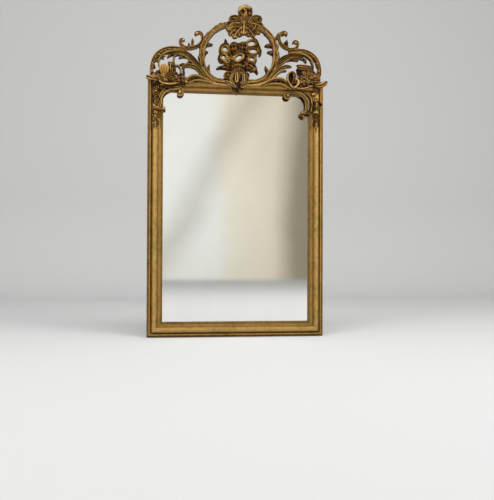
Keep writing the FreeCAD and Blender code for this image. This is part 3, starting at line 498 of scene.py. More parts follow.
def gilt_material(name, shade_source, tint, rough_low, rough_high):
    """Worn water gilding: red bole where it is rubbed; gold as painted highlight on the ridges, umber as dirt and
    painted shade in the recesses.
    """
    material, graph, shader = new_material(name)
    place = graph.place()
    broad = graph.noise(place, 14.0, 3.0)
    middle = graph.noise(place, 70.0, 5.0)
    fine = graph.noise(place, 420.0)
    uneven = graph.maths("MULTIPLY", graph.maths("SUBTRACT", middle, 0.5), 0.55)
    # The tone runs from umber dirt and painted shade in the recesses to painted highlight on the ridges.
    tone = graph.ramp(graph.maths("ADD", shade_source(graph, place), uneven), (0.02, UMBER_AND_SHADE), (0.22, GOLD_DULL),
                      (0.42, GOLD_OLD), (0.66, GOLD), (0.92, GOLD_HIGHLIGHT))
    rubbed = graph.maths("MULTIPLY", graph.step(middle, 0.56, 0.70), graph.step(broad, 0.45, 0.60))
    worn = graph.mix(graph.maths("MULTIPLY", rubbed, 0.55), tone, BOLE)
    patina = graph.ramp(broad, (0.32, srgb(188, 186, 124)), (0.52, srgb(236, 224, 196)),
                        (0.68, srgb(255, 232, 214)))
    aged = graph.mix(0.6, worn, patina, "MULTIPLY")
    graph.fill(shader, {
        "Base Color": graph.mix(1.0, aged, tint, "MULTIPLY"), "Metallic": 0.7,
        "Roughness": graph.span(middle, 0.3, 0.7, rough_low, rough_high),
        "Normal": graph.bump(graph.maths("ADD", middle, graph.maths("MULTIPLY", fine, 0.35)), 0.45, 0.0016)})
    return material


# The carving's painted highlight and shade are made stronger about the middle.
SHADE_PIVOT = 0.5
SHADE_CONTRAST = 1.4


def carved_painted_light(graph, place):
    """The painted highlight and shade kept at each vertex, with its contrast raised about the middle."""
    relief_shade = graph.add("Attribute", "Fac", {}, attribute_name="relief_shade")
    spread = graph.maths("MULTIPLY", graph.maths("SUBTRACT", relief_shade, SHADE_PIVOT), SHADE_CONTRAST)
    return graph.maths("ADD", spread, SHADE_PIVOT)


FRAME_HALF_WIDTH = 0.385
FRAME_HEIGHT = 1.126
RAIL_FACE = 0.066

# Painted highlight and shade across the moulding, from its outer edge to the sight edge: lighter on its ridges,
# darker in its hollows.

MOULDING_PAINTED_LIGHT = ((0.0, 0.18), (0.05, 0.42), (0.115, 0.26), (0.18, 0.66), (0.25, 0.42), (0.295, 0.30),
                   (0.36, 0.60), (0.48, 0.70), (0.60, 0.58), (0.67, 0.40), (0.75, 0.60), (0.84, 0.72),
                   (0.91, 0.46), (1.0, 0.36))


def moulding_painted_light(graph, place):
    """Painted highlight and shade by the section's ridges and hollows, by the distance in from the frame's outer
    edge.
    """
    x, _, z = graph.split(place)
    side = graph.maths("SUBTRACT", FRAME_HALF_WIDTH, graph.maths("ABSOLUTE", x))
    top = graph.maths("SUBTRACT", FRAME_HEIGHT, z)
    inset = graph.maths("MINIMUM", side, graph.maths("MINIMUM", top, z))
    return graph.ramp(graph.maths("DIVIDE", inset, RAIL_FACE),
                      *((at, (value, value, value, 1)) for at, value in MOULDING_PAINTED_LIGHT))


def wood_material(name, pale, dark, scale):
    """Bare aged softwood with its grain along the long side of the frame."""
    material, graph, shader = new_material(name)
    place = graph.place()
    stretched = graph.add("Mapping", "Vector", {"Vector": place, "Scale": (scale, scale, scale * 0.06)})
    wave = graph.add("TexWave", "Fac", {"Vector": stretched, "Scale": 1.4, "Distortion": 6.0, "Detail": 3.0})
    soil = graph.ramp(graph.noise(place, 9.0), (0.35, srgb(110, 92, 74)), (0.7, srgb(255, 250, 240)))
    grain = graph.ramp(wave, (0.15, dark), (0.75, pale))
    graph.fill(shader, {"Base Color": graph.mix(0.45, grain, soil, "MULTIPLY"), "Roughness": 0.78,
                        "Normal": graph.bump(wave, 0.25, 0.001)})
    return material


def metal_material(name, pale, dark, roughness):
    material, graph, shader = new_material(name)
    patch = graph.noise(graph.place(), 160.0, 5.0)
    graph.fill(shader, {"Base Color": graph.ramp(patch, (0.35, dark), (0.65, pale)), "Metallic": 0.9,
                        "Roughness": roughness, "Normal": graph.bump(patch, 0.2, 0.0004)})
    return material


def mirror_material(name):
    """Old silvered glass: nearly clear, with a faint warm bloom."""
    material, graph, shader = new_material(name)
    bloom = graph.noise(graph.place(), 5.0, 3.0)
    graph.fill(shader, {
        "Base Color": graph.ramp(bloom, (0.35, (0.88, 0.885, 0.865, 1)), (0.7, (0.93, 0.93, 0.92, 1))),
        "Metallic": 1.0, "Roughness": graph.span(bloom, 0.0, 1.0, 0.03, 0.07)})
    return material


# The carved gilding is tinted darker than the moulding's, painted shade over the pierced carving.
GILT = gilt_material("gilt_carved", carved_painted_light, srgb(210, 199, 172), 0.38, 0.58)
GILT_MOULDING = gilt_material("gilt_moulding", moulding_painted_light, srgb(248, 254, 255), 0.46, 0.64)
PINE = wood_material("pine_aged", srgb(176, 140, 96), srgb(122, 88, 54), 90.0)
BACKING = wood_material("backboard_wood", srgb(150, 116, 78), srgb(92, 64, 40), 70.0)
IRON = metal_material("dull_iron", srgb(120, 112, 104), srgb(66, 56, 48), 0.5)
BRASS = metal_material("aged_brass", srgb(196, 158, 88), srgb(120, 88, 44), 0.36)
MIRROR = mirror_material("silvered_glass")

# Materials of the CAD's own solids, by the start of a node's name; the first match counts.

NODE_MATERIALS = (
    ("moulding", GILT_MOULDING), ("pearls", GILT_MOULDING), ("carcass", PINE), ("glazing", PINE),
    ("crest_batten", BACKING), ("backboard_nails", IRON), ("backboard", BACKING), ("batten_screws", IRON),
    ("strap_screws", BRASS), ("hanger_strap", BRASS), ("hanging_ring", BRASS), ("mirror_glass", MIRROR),
)


def dress_nodes():
    for name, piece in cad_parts.items():
        for start, material in NODE_MATERIALS:
            if name.startswith(start):
                for slot in piece.material_slots:
                    slot.material = material
                break


# The carved pieces, one function each.

def build_crest_ring():
    """The crest's oval ring: two C-shaped halves with a rim, leaf wraps and leaf tips."""
    carving = Carving(BOARD_BACK, BOARD_FRONT, 0.92)
    left = (238, 82.5, 230, 82.4, 221.5, 81.5, 213.5, 78.5, 207, 72.5, 203.2, 65, 202, 57, 202.4, 49.5, 204.6, 42,
            208.6, 35, 214.5, 28.8, 222, 24.6, 230, 22.4, 238, 22)
    right = (237, 82.5, 246, 82.8, 256, 82, 263.5, 78.8, 270, 73.2, 274.2, 66.5, 276, 59, 276.2, 51, 275, 43.5,
             272, 36.5, 267, 30.5, 261, 26, 253, 23, 244, 22.2)
    widths = (20, 21, 22, 24, 26, 26, 26, 25, 25, 24, 22, 20, 19, 18)
    carving.band(left, widths, 2, crown=0.7)
    carving.band(right, widths, 2, crown=0.7, flip=True)
    carving.leaves((
        ((203.5, 53, 204, 46, 207.4, 43.2, 213, 43.8), 22, 2, 6, 1.8),
        ((203, 60, 203.6, 54.5, 205.6, 51.4, 208.4, 51.2), 20, 2, 6, 1.8),
        ((204, 46, 205.6, 39, 210.2, 33, 216.4, 28.6), 30, 4, 6, 2.4),
        ((202.5, 64, 202, 57, 202.6, 50, 205, 43.6), 28, 4, 6, 2.4),
        ((211, 32, 216, 27.4, 222, 24.4, 228.5, 22.8), 26, 4, 6, 2.4),
        ((207.5, 74, 203.6, 67.5, 202.4, 61.5, 203.4, 56), 28, 4, 6, 2.4),
        ((211.5, 79, 208.6, 73.5, 208.2, 69, 209.4, 63.6), 20, 3, 6, 1.7),
        ((275.8, 52, 275.2, 46.5, 271.5, 44.4, 265, 44.8), 22, 2, 6, 1.8),
        ((276, 59, 275, 54, 272, 51.6, 267.6, 51), 22, 2, 6, 1.5),
        ((275.6, 47, 273.8, 40, 269.8, 34, 263.6, 29), 30, 4, 6, 2.4),
        ((275.4, 66, 276.8, 59, 277, 52, 275.6, 45), 28, 4, 6, 2.4),
        ((268, 31.5, 263.5, 27.4, 258, 24.6, 252, 23), 26, 4, 6, 2.4),
        ((270.5, 75, 274, 69.5, 275.8, 63.5, 276.2, 57), 28, 4, 6, 2.4),
        ((264.5, 80, 267.6, 75, 267.6, 70.4, 265.4, 65.4), 20, 3, 6, 1.7)), bright=0.84, deep=0.24, thick=0.72)
    for half in (left, right):
        carving.rod(inward(half[4:], (239, 54), 2.3), 4.6, 9, 1.25, crown=0.5)
    carving.leaves((
        ((207.6, 40.6, 205.4, 38.4, 206, 36.4, 209.4, 36.6), 17),
        ((204.8, 49.6, 201.4, 47.4, 201.2, 44.6, 204.2, 43), 17),
        ((204.4, 60.4, 200.6, 58.4, 199.9, 55.6, 202.4, 53.4), 17),
        ((207, 70.4, 202.4, 68.4, 201.2, 65.6, 203, 63), 17),
        ((213.6, 34, 211, 31.4, 212.6, 29.6, 216.4, 30.4), 17),
        ((222.2, 27.2, 219.6, 24.8, 221, 23.2, 225.2, 24), 17),
        ((270.6, 40.8, 273, 38.4, 272.6, 36.2, 269.4, 36.2), 17),
        ((273.8, 49.8, 277.2, 47.4, 277.4, 44.4, 274.6, 42.6), 17),
        ((274.4, 60.6, 278, 58.4, 278.6, 55.4, 276.2, 53), 17),
        ((271.6, 70.8, 276, 68.4, 277.2, 65.4, 275.4, 62.8), 17),
        ((264.8, 33.8, 267.2, 31.2, 265.6, 29.4, 262, 30.4), 17),
        ((256.2, 27.4, 258.6, 25, 257, 23.6, 253, 24.6), 17)), lobes=2, out=7, power=2.6, deep=0.2, thick=0.74)
    carving.rods((
        ((208.5, 71, 212.6, 76.6, 219, 80.2, 227, 81.4, 234, 80.6), (7, 12, 14, 12, 7)),
        ((205.5, 76.5, 210.5, 81, 218, 84, 226.5, 84.6, 234, 84), (7, 13, 15, 13, 8)),
        ((269, 72, 264.6, 77.4, 257.6, 80.6, 250, 81.6, 243, 80.8), (7, 12, 14, 12, 7)),
        ((271.5, 77.5, 266.4, 81.6, 259, 84.4, 251, 85, 243, 84.2), (7, 13, 15, 13, 8))), out=6)
    piece = carving.build("carved_crest_ring")
    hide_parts("crest_ring")


def build_wing_left():
    """Arch of strands, upper scroll with two eyes and a bud, fronds, a low leaf and a ledge."""
    carving = Carving(BOARD_BACK, BOARD_FRONT, 1.22)
    carving.band((201.5, 68, 198.6, 64.6, 195.4, 61.4, 192, 57.8, 188.6, 54.6, 184.4, 52.4, 179.5, 51.6, 174.5,
        52), (12, 22, 27, 28, 27, 25, 20, 9), 6, section="strands", crown=0.75)
    carving.band((212, 84.5, 206.6, 80, 202.6, 74.6, 199.4, 69.6, 195.4, 66.2, 190.4, 64.6, 185.6, 64.8, 181.8,
        67.2), (10, 15, 17, 18, 18, 17, 14, 8), 5, crown=0.75)
    carving.rod((203.4, 66, 206.4, 72.4, 211, 78, 217, 81.6), (9, 13, 13, 8), 4)
    carving.band((187, 48.6, 180.5, 47.6, 173.4, 47, 166.6, 47.6, 160.4, 50.2, 155.6, 54.4, 152.6, 59.8, 151.2,
        66, 151, 72.4, 152.4, 77), (8, 13, 15, 15, 15, 14, 13, 13, 13, 11), 2, crown=0.7)
    carving.rod((186, 50.4, 178, 49.8, 170.4, 50.4, 164.4, 52.6, 160.6, 56, 158.6, 60.4, 158.8, 65.6), (6, 8, 9,
        10, 10, 8, 6), 5)
    carving.leaves((
        ((167, 49.5, 163.6, 51.2, 162, 54, 163.4, 57.6), 19, 2),
        ((180, 53.4, 174.6, 52.8, 169.8, 53.4, 167, 56.4), 15, 2),
        ((161.5, 50, 157.6, 52.8, 156.2, 56.6, 158.4, 60.5), 20, 3),
        ((156, 54.5, 153.6, 58.6, 153, 62.4, 155.4, 66.4), 16, 2),
        ((152.6, 60, 151.4, 64.5, 151.6, 69, 154, 72.4), 15, 2),
        ((190, 57, 186.6, 55.2, 182.4, 54.9, 178.6, 56.8), 16, 2),
        ((196.5, 62.5, 193.4, 61, 189.6, 60.6, 186.6, 62.2), 14, 2)), out=9, power=2.4, curl=0.9)
    for points in (
            (186, 49.4, 182.6, 46.8, 178.8, 46.2, 176, 48),
            (177.4, 49, 173.8, 46.4, 170, 46.2, 167.4, 48.4),
            (168.8, 49.4, 164.8, 47.6, 161.2, 48.6, 159.6, 51.4),
            (160.8, 53, 157, 52, 154.4, 53.8, 154.4, 57),
            (155.4, 58.4, 152.4, 58.4, 150.8, 60.6, 151.8, 64),
            (153.2, 65.4, 150.8, 66, 150.2, 68.6, 151.8, 71.6)):
        carving.leaf(inward(points, (176, 76), 1.9), 12, 2, 5, deep=0.2, thick=0.7)
    carving.ball((164.4, 56.2), 5.4, 4)
    carving.rods((
        ((174.2, 72, 174, 66.5, 173.6, 61, 174, 56.4, 176.4, 53.2), (8, 10, 10, 9, 7), 4),
        ((178.4, 76, 180.6, 71.8, 180.2, 67.6, 177.4, 64.8, 174.6, 66.2), (8, 9, 9, 8, 5), 3)))
    carving.leaves((
        ((184, 64.5, 183.6, 68, 183.9, 72, 184.2, 76.5), 12, 3, 2, 1.7),
        ((188.6, 63.6, 184.6, 63, 180.8, 63.4, 177.6, 65.6), 15, 3, 6, 1.8)))
    carving.band((196.6, 34.4, 195.4, 32.9, 197.8, 31.4, 201.3, 32.4, 202.6, 36.4, 201.8, 41, 198.4, 44.8, 193.6,
        47, 188, 47.4, 183.2, 45.4, 180.4, 41.9, 180.8, 38.9, 183.2, 38.7, 184.2, 40.4), (8, 10, 13, 14, 14, 13,
        13, 13, 14, 14, 13, 13, 11, 8), 0, crown=0.65)
    carving.ball((196.8, 33.8), 8.4, 0)
    carving.ball((183.2, 40.3), 8, 0)
    carving.rod((202, 36, 200.6, 41, 196.6, 44.4, 191.4, 45.8, 186.6, 45.2), (4, 6, 7, 6, 4), 6)
    carving.leaves((
        ((192.6, 47, 192.5, 43.6, 192.7, 40.6, 192.5, 37), 14, 2, 3, 2.6),
        ((190, 47.3, 189.6, 45.4, 189.2, 43.6, 188.9, 41.2), 11, 2, 2),
        ((186.5, 51.5, 184.5, 49.4, 181.4, 48.2, 177.6, 48.4), 22, 3, 8)))
    carving.leaf((213, 85.4, 206.5, 80.4, 200, 77.4, 193.4, 77, 186.6, 81.6), 30, 5, 9, 3, curl=0.6, deep=0.2)
    carving.rods((
        ((208.4, 80.6, 203, 77, 198, 75, 193, 74.8, 188.6, 77, 186, 80.6), (7, 11, 13, 13, 12, 8), 10),
        ((212, 83, 206.4, 80.8, 200.4, 79.6, 194.4, 79.8, 189.4, 82.6), (5, 8, 10, 9, 6), 12)))
    carving.ball((186.1, 81.9), 7.4, 6)
    carving.band((176, 83.2, 184, 83.6, 193, 83.2, 202, 82.8, 211, 83.2, 221, 84.2), (6, 8, 10, 11, 10, 6), 3,
        0.8, back=12)
    carving.leaf((177.5, 80.6, 181, 79.6, 184, 80.6, 186.4, 84.2), 16, 3, 6, back=12)
    carving.leaf((152, 75.5, 155.5, 73, 159.4, 70.6, 164, 68.6), 26, 3, 4)
    piece = carving.build("carved_wing_left")
    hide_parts("crest_wing_left")


def build_wing_right():
    """Arch of strands, upper scroll with two eyes, fronds, a low leaf and a ledge."""
    carving = Carving(BOARD_BACK, BOARD_FRONT, 1.04)
    carving.band((276.4, 67.5, 279, 63.6, 282, 60.2, 285.6, 57.6, 290, 55.8, 295, 55, 299.6, 56, 303.6, 58.6),
        (12, 24, 30, 30, 26, 21, 15, 8), 6, section="strands", crown=0.75, flip=True)
    carving.band((262, 84.6, 268.6, 80.4, 273.4, 75.4, 277.6, 70.6, 282, 67.2, 286.6, 65.6, 290.8, 66), (10, 14,
        16, 16, 15, 13, 8), 5, crown=0.75, flip=True)
    carving.rod((266, 83.6, 272.4, 78.4, 277, 73.6, 282, 70.4, 287.4, 70), (8, 12, 12, 10, 6), 3)
    carving.band((288.8, 50.6, 294.6, 50, 300.8, 49.8, 307, 51, 312.8, 54.2, 317, 58.8, 319.4, 64.2, 320.6, 70,
        320.4, 76), (8, 14, 16, 16, 16, 15, 14, 13, 12), 2, crown=0.7, flip=True)
    carving.rod((288.6, 52.8, 295.6, 52.4, 302.4, 53.2, 308.4, 56, 312.2, 60, 313.4, 64.6), (6, 9, 11, 11, 10, 6),
        5)
    carving.leaves((
        ((284, 60.6, 289, 58.6, 294, 58, 299.4, 59.6), 15, 2),
        ((299, 55.5, 303, 56.8, 305.8, 58.8, 307.4, 61.8), 15, 2),
        ((307, 53.6, 310.6, 55.6, 312.6, 58.4, 312.9, 62.6), 20, 3),
        ((313, 55.6, 316.4, 58.6, 318, 61.6, 318.4, 65.4), 18, 2),
        ((318, 61.5, 319.8, 65.4, 319.9, 69.4, 318.8, 73), 16, 2),
        ((296, 50.4, 301, 50.8, 305.4, 52.2, 308.6, 55), 16, 2)), out=9, power=2.4, curl=0.9)
    for points in (
            (289.4, 51.8, 292.8, 49.4, 296.6, 48.8, 299.6, 50.6),
            (298.6, 51.4, 302.4, 48.9, 306.2, 49.4, 308.8, 52.2),
            (307.8, 52.6, 311.6, 51.4, 314.8, 53.4, 315.8, 57),
            (314.8, 57, 317.9, 57.4, 319.8, 60.4, 319.2, 64.2),
            (318.6, 64.2, 321, 65.8, 321.8, 69, 320.4, 72.4)):
        carving.leaf(inward(points, (297, 80), 1.9), 13, 2, 5, deep=0.2, thick=0.7)
    carving.band((286.6, 35.4, 286.8, 32.8, 283.8, 31.6, 280.6, 33.6, 279.8, 38.4, 281.6, 43.2, 285.6, 46.8,
        290.8, 48.6, 295.6, 47.8, 298.4, 44.8, 297.6, 41.4, 294.8, 40.6, 293.2, 42.8), (8, 13, 14, 14, 13, 13, 13,
        13, 13, 12, 12, 10, 8), 0, crown=0.65, flip=True)
    carving.ball((285.2, 33.9), 8.6, 0)
    carving.ball((295.6, 43.2), 8, 0)
    carving.leaves((
        ((276.6, 38.5, 278.6, 35, 281.6, 32.6, 286.4, 32.4), 22, 3, 6),
        ((288.6, 48.6, 287.8, 45.4, 287.4, 42.2, 287.4, 38.4), 16, 2, 3, 2.6),
        ((285.6, 46.6, 285.2, 44.4, 285.2, 42.6, 285.6, 40.2), 10, 2, 2),
        ((281, 67.6, 285, 65.4, 288.4, 64.8, 292.4, 66), 17, 3, 7, 1.8)))
    carving.leaf((262, 85.4, 269, 81.6, 276, 79.6, 283, 79.8, 289, 84.6), 28, 5, 9, 3, curl=0.6, deep=0.2)
    carving.rods((
        ((266.6, 81.8, 272, 79, 278, 77.6, 283.6, 78.6, 287.4, 82.2), (7, 11, 13, 12, 8), 10),
        ((264, 85, 271, 83.4, 278, 83.2, 284, 84.6, 289.4, 88), (5, 9, 11, 11, 7), 11)))
    carving.band((252, 85.2, 262, 85, 272, 85.2, 282, 86, 290, 87), (6, 9, 10, 10, 6), 3, 0.8, back=12)
    carving.leaf((306, 71, 311, 71.6, 316, 73.4, 320.2, 76.8), 26, 3, 4)
    piece = carving.build("carved_wing_right")
    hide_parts("crest_wing_right")


def build_cartouche():
    """Pierced rocaille of leaves, scrolls and small rings, over a leaf fan between two curls."""
    carving = Carving(BOARD_BACK - 4, BOARD_FRONT - 6, 1.05)
    # Dark pillows behind the leaves: painted shade in the gaps of the rocaille.
    carving.pillow((230.4, 45.6, 231.8, 42.2, 235.4, 41.6, 238.8, 42.8, 242.6, 41.4, 246.6, 42.6, 247.6, 47.4,
        247.6, 52.6, 243.6, 53.6, 238.6, 54, 234.6, 55.6, 231.4, 55.4, 229.6, 50.4), -17, -14.5, (0.1, 0.34))
    carving.pillow((225.2, 61.2, 229, 58.6, 233.6, 59.2, 238, 61, 243, 60, 248.6, 61.8, 253.8, 63.6, 256, 67.6,
        254.4, 71.4, 248.4, 70.8, 243, 72.6, 237.6, 73, 232, 71.6, 226, 69.2, 220.6, 69, 221.4, 66.4, 225.6,
        65.6), -17, -14.5, (0.1, 0.3))
    carving.pillow((224.6, 73.6, 227.4, 72.2, 230.6, 73.6, 231.2, 76.4, 228.6, 78.2, 225.2, 77), -17, -14.5,
        (0.06, 0.24))
    carving.hoops((
        ((225.1, 48.2), (1.9, 1.8), 16, -5),
        ((223.6, 56.4), (1.7, 1.6), 14, -5),
        ((251.6, 42.7), (3.5, 2.1), 12, -5, 14),
        ((253.5, 50.4), (3.5, 1.9), 11.5, -5),
        ((252, 58.4), (2, 1.5), 14, -5),
        ((238.9, 57), (3.4, 1.8), 15, -5, 30)), bright=0.72)
    carving.bands((
        ((253.4, 37.2, 256.4, 39.8, 258, 43.4, 259.4, 47.4, 260.6, 51.4, 259.8, 55.8), (8, 13, 14, 15, 15, 8), 1,
         0.58),
        ((229.6, 44, 226, 43.2, 222.2, 44.6, 220.2, 48.2, 220.6, 52, 223.2, 53.4), (7, 10, 11, 11, 11, 8), 1,
         0.62),
        ((223.4, 52.4, 220.4, 54, 219, 57.2, 220.2, 60.6, 223.4, 62), (7, 10, 11, 10, 7), 1, 0.55),
        ((248, 48.2, 251.2, 46.8, 254.6, 46.4, 257.8, 47), (7, 9, 9, 7), 2, 0.62),
        ((247.4, 55.8, 250.6, 54.4, 254.2, 54.4, 257.4, 55.6), (8, 10, 10, 7), 3, 0.86),
        ((247.2, 62, 250.2, 61.2, 253.4, 62.2, 256, 64.4), (7, 9, 9, 6), 3, 0.9),
        ((256.2, 57.4, 256.4, 60.2, 254.8, 62.6, 251.8, 63.4), (6, 8, 8, 5), 2, 0.85)))
    carving.leaves((
        ((227.4, 45.6, 226.6, 43, 226, 40.6, 225.4, 37.8), 17, 2, 1, 1.6, 0.5),
        ((236.4, 54.6, 234, 50.6, 232.4, 46.6, 231.8, 41.6), 24, 3, 0, 3, 0.72),
        ((238.6, 53.6, 236.8, 49.8, 235.4, 46.4, 235.2, 41.4), 22, 3, 3, 3.2, 0.84),
        ((240, 53, 239.8, 49.6, 239.4, 46.6, 238.8, 42.4), 18, 2, 0, 3.2, 0.6),
        ((242, 52.8, 242.6, 48.8, 242.6, 45, 242, 40.6), 22, 3, 2, 3.2, 0.76),
        ((246.2, 53.6, 247, 49.2, 246.8, 45, 245.8, 40.4), 22, 3, 4, 3.2, 0.82),
        ((232.6, 57, 230.4, 53.8, 229, 50.4, 229.2, 45.8), 20, 3, 4, 2.8, 0.86),
        ((229.6, 54.6, 226.8, 53, 223.8, 52.2, 220.4, 53.2), 15, 2, 3, 2.8, 0.98),
        ((243, 62.6, 246.4, 60, 248, 56.4, 247.4, 52), 18, 3, 3, 2.6, 0.74),
        ((244.6, 52.4, 241.6, 51.6, 238.4, 52, 234.6, 54.2), 14, 3, 6, 2.6, 0.8),
        ((245.8, 53.6, 245.4, 56.6, 243.8, 59.4, 241, 61.6), 15, 3, 5, 2.6, 0.42),
        ((235.4, 58.6, 231.6, 57.2, 227.6, 58.4, 224.4, 62.4), 30, 3, 7, 3, 1.25),
        ((235.2, 63.6, 231.2, 61.6, 227.2, 61.8, 223.6, 64.4), 22, 3, 3, 2.6, 0.8),
        ((235, 69, 228.4, 67.2, 222, 66.2, 216.2, 68), 21, 4, 3, 1.9, 0.7),
        ((235.6, 65.6, 230.4, 64.6, 226, 65.4, 222.4, 67.8), 17, 3, 5, 2.4, 0.86),
        ((244, 63.6, 248.8, 63.4, 252.8, 65.8, 256.4, 70.6), 38, 3, 3, 3.2, 0.82),
        ((251, 66, 254, 67.6, 256.4, 70.2, 258, 73.6), 20, 3, 1, 1.8, 0.55),
        ((245, 67, 248.4, 67.4, 250.8, 68.8, 252.4, 71.2), 18, 2, 5, 2.4, 0.72)), curl=0.6, deep=0.16, thick=0.55)
    for x, y, width, out in ((231.4, 64.4, 16, 4), (234.2, 62.4, 17, 6), (238, 61.8, 18, 7), (241.8, 62.2, 17, 6),
                             (245.4, 64, 16, 4)):
        carving.leaf((238.4, 75, (x + 238.4 * 1.2) / 2.2, (y + 71) / 2, x, y), width, 3, out, 2.6, 1.15, curl=0.9,
                     thick=0.5)
    for x, y, size, turn in ((227.7, 74.8, 1, 1), (246.6, 75.2, 0.84, -1)):
        curl = (5.6, -3.6, 2.2, -3, -1.2, -2.6, -2.7, -0.4, -1.6, 2.2, 1, 2.6, 2.3, 0.6, 0.8, -0.9)
        carving.band(around(x, y, curl, size * turn, size), (9, 10, 11, 11, 10, 9, 8, 5), 1, 0.95, crown=0.7,
                     flip=turn < 0)
        carving.ball((x + turn * 0.1, y + 0.2), 5 * size, -3)
    carving.bands((
        ((232.4, 78.6, 232.2, 75, 233.6, 71.4, 236, 68), (9, 12, 12, 8), 2),
        ((243.8, 78.4, 244, 75, 242.8, 71.4, 240.4, 68), (9, 12, 12, 8), 2, 0.9),
        ((238.2, 80, 238.2, 76, 238.2, 71, 238.3, 66), (22, 24, 22, 14), 2, 0.55)))
    piece = carving.build("carved_cartouche")
    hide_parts("crest_cartouche")


def build_cartouche_foot():
    """Stalk of bands with a round eye, and three small leaves over the rail."""
    carving = Carving(BOARD_FRONT + 6, APPLIED_FRONT)
    # A dark pillow behind the bands: painted shade.
    carving.pillow((230.8, 73.4, 234.4, 71.2, 238.4, 70.6, 242.6, 71.6, 246.6, 74.4, 247, 78.4, 248.6, 82.4,
        246.4, 85.6, 241.6, 87, 237.6, 89, 233.4, 86.6, 228, 84.4, 224.8, 81.6, 228.4, 79, 230.6, 77.4), -10,
        -7.5, (0.02, 0.16))
    carving.bands((
        ((236.8, 82.6, 236.7, 79, 236.8, 75.2, 237.2, 71), (15, 17, 15, 10), -1.5, 1.15),
        ((235, 84.2, 231.8, 81.4, 231, 77.6, 232.4, 74.2, 235.2, 72), (9, 12, 13, 11, 7), -4, 1.1),
        ((240.2, 84, 243, 81.4, 243.8, 77.6, 242.8, 74.2, 240.2, 72), (9, 12, 13, 11, 7), -4),
        ((236.8, 86.6, 232.4, 84.6, 228.4, 82.2, 224.8, 80.6), (12, 15, 14, 8), -2, 0.98),
        ((240.2, 86.8, 244, 85.8, 247.2, 83.6, 248.6, 80.4), (11, 13, 13, 8), -2, 0.9),
        ((247.4, 73.2, 245.6, 75.4, 245.8, 78.4, 248, 80.2), (7, 9, 9, 7), -4, 0.7),
        ((241.8, 84.4, 244.4, 82.2, 246, 80.4, 246.2, 78.2), (7, 9, 8, 6), -3)), crown=0.55)
    carving.ball((236.7, 81.9), 7.2, -7.8)
    carving.leaf((237.6, 82.6, 237.4, 85.4, 237.3, 88.2, 237.4, 91.4), 26, 3, -1, 1.5, 0.5, curl=0.2)
    carving.leaves((
        ((236.4, 83.6, 234.6, 85.6, 233.6, 87.6, 233.6, 90), 14, 2, -2, 2.2, 0.55),
        ((239.4, 83.6, 241.2, 85.6, 242.2, 87.6, 242, 89.8), 14, 2, -2, 2.2, 0.6)))
    piece = carving.build("carved_cartouche_foot")
    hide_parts("cartouche_foot")


def build_palmette():
    """Leaves that open to both sides over the top of the ring, with three small flowers."""
    carving = Carving(BOARD_FRONT + 4, APPLIED_FRONT, 1.06)
    # A dark pillow behind the leaves: painted shade.
    carving.pillow((228, 29.5, 229.6, 33.6, 233.6, 36.4, 238.6, 35, 243.6, 35.4, 249, 35, 253.6, 35.6, 259, 33,
        262.8, 29.4, 261.4, 25.4, 255.6, 23.4, 244.4, 20.6, 234, 22.8, 229, 25.6), -13.5, -11, (0.06, 0.22))
    carving.leaves((
        ((243, 21.6, 236.4, 22.8, 230.8, 25.8, 227.2, 30.6), 42, 3, -3, 3.2, 0.78),
        ((242.4, 23.8, 237, 26.6, 232.4, 30.8, 229.4, 35.4), 40, 3, -6, 3.2, 0.62),
        ((242.6, 25.6, 239, 29.4, 236, 33.2, 233.8, 38.2), 36, 3, -2, 3.2, 0.8),
        ((246, 21.6, 252.6, 22.6, 258.8, 25, 263.6, 29.4), 42, 3, -3, 3.2, 0.7),
        ((246.4, 23.8, 252, 26.4, 256.8, 29.8, 260, 34.2), 38, 3, -6, 3.2, 0.74),
        ((246, 25.6, 249.6, 29.4, 252.4, 33, 254, 37), 34, 3, -2, 3.2, 0.62),
        ((243.2, 27, 241.6, 30.4, 240.2, 33.6, 239, 36.8), 26, 3, -5, 3.2, 0.66),
        ((245.4, 27, 246.8, 30.4, 248.2, 33.6, 249.2, 36.6), 26, 3, -5, 3.2, 0.58),
        ((244.2, 18.6, 244.2, 23.6, 244, 29, 243.6, 34.8), 34, 3, -0.5, 3.2, 0.92)), curl=0.9, deep=0.14,
         thick=0.5, blunt=0.3)
    carving.rods((
        ((229, 26.4, 231, 24, 235.4, 22.6, 240, 23.4), (6, 8, 8, 5)),
        ((229, 30.8, 231, 28, 234.6, 26.2, 239, 26.4), (5, 7, 7, 5)),
        ((250.6, 24, 255, 23.6, 259.2, 25.2, 262.6, 28.4), (5, 7, 8, 6)),
        ((252.6, 30.2, 254.8, 27.4, 256, 24.8, 255.4, 22.2), (5, 7, 7, 5))), out=-2, bright=0.7)
    carving.rosettes((
        ((258.6, 28), 8.6),
        ((262, 29.6), 7.6),
        ((257.4, 32.2), 7.6)), out=-0.5, boss=0.4)
    piece = carving.build("carved_palmette")
    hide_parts("palmette")


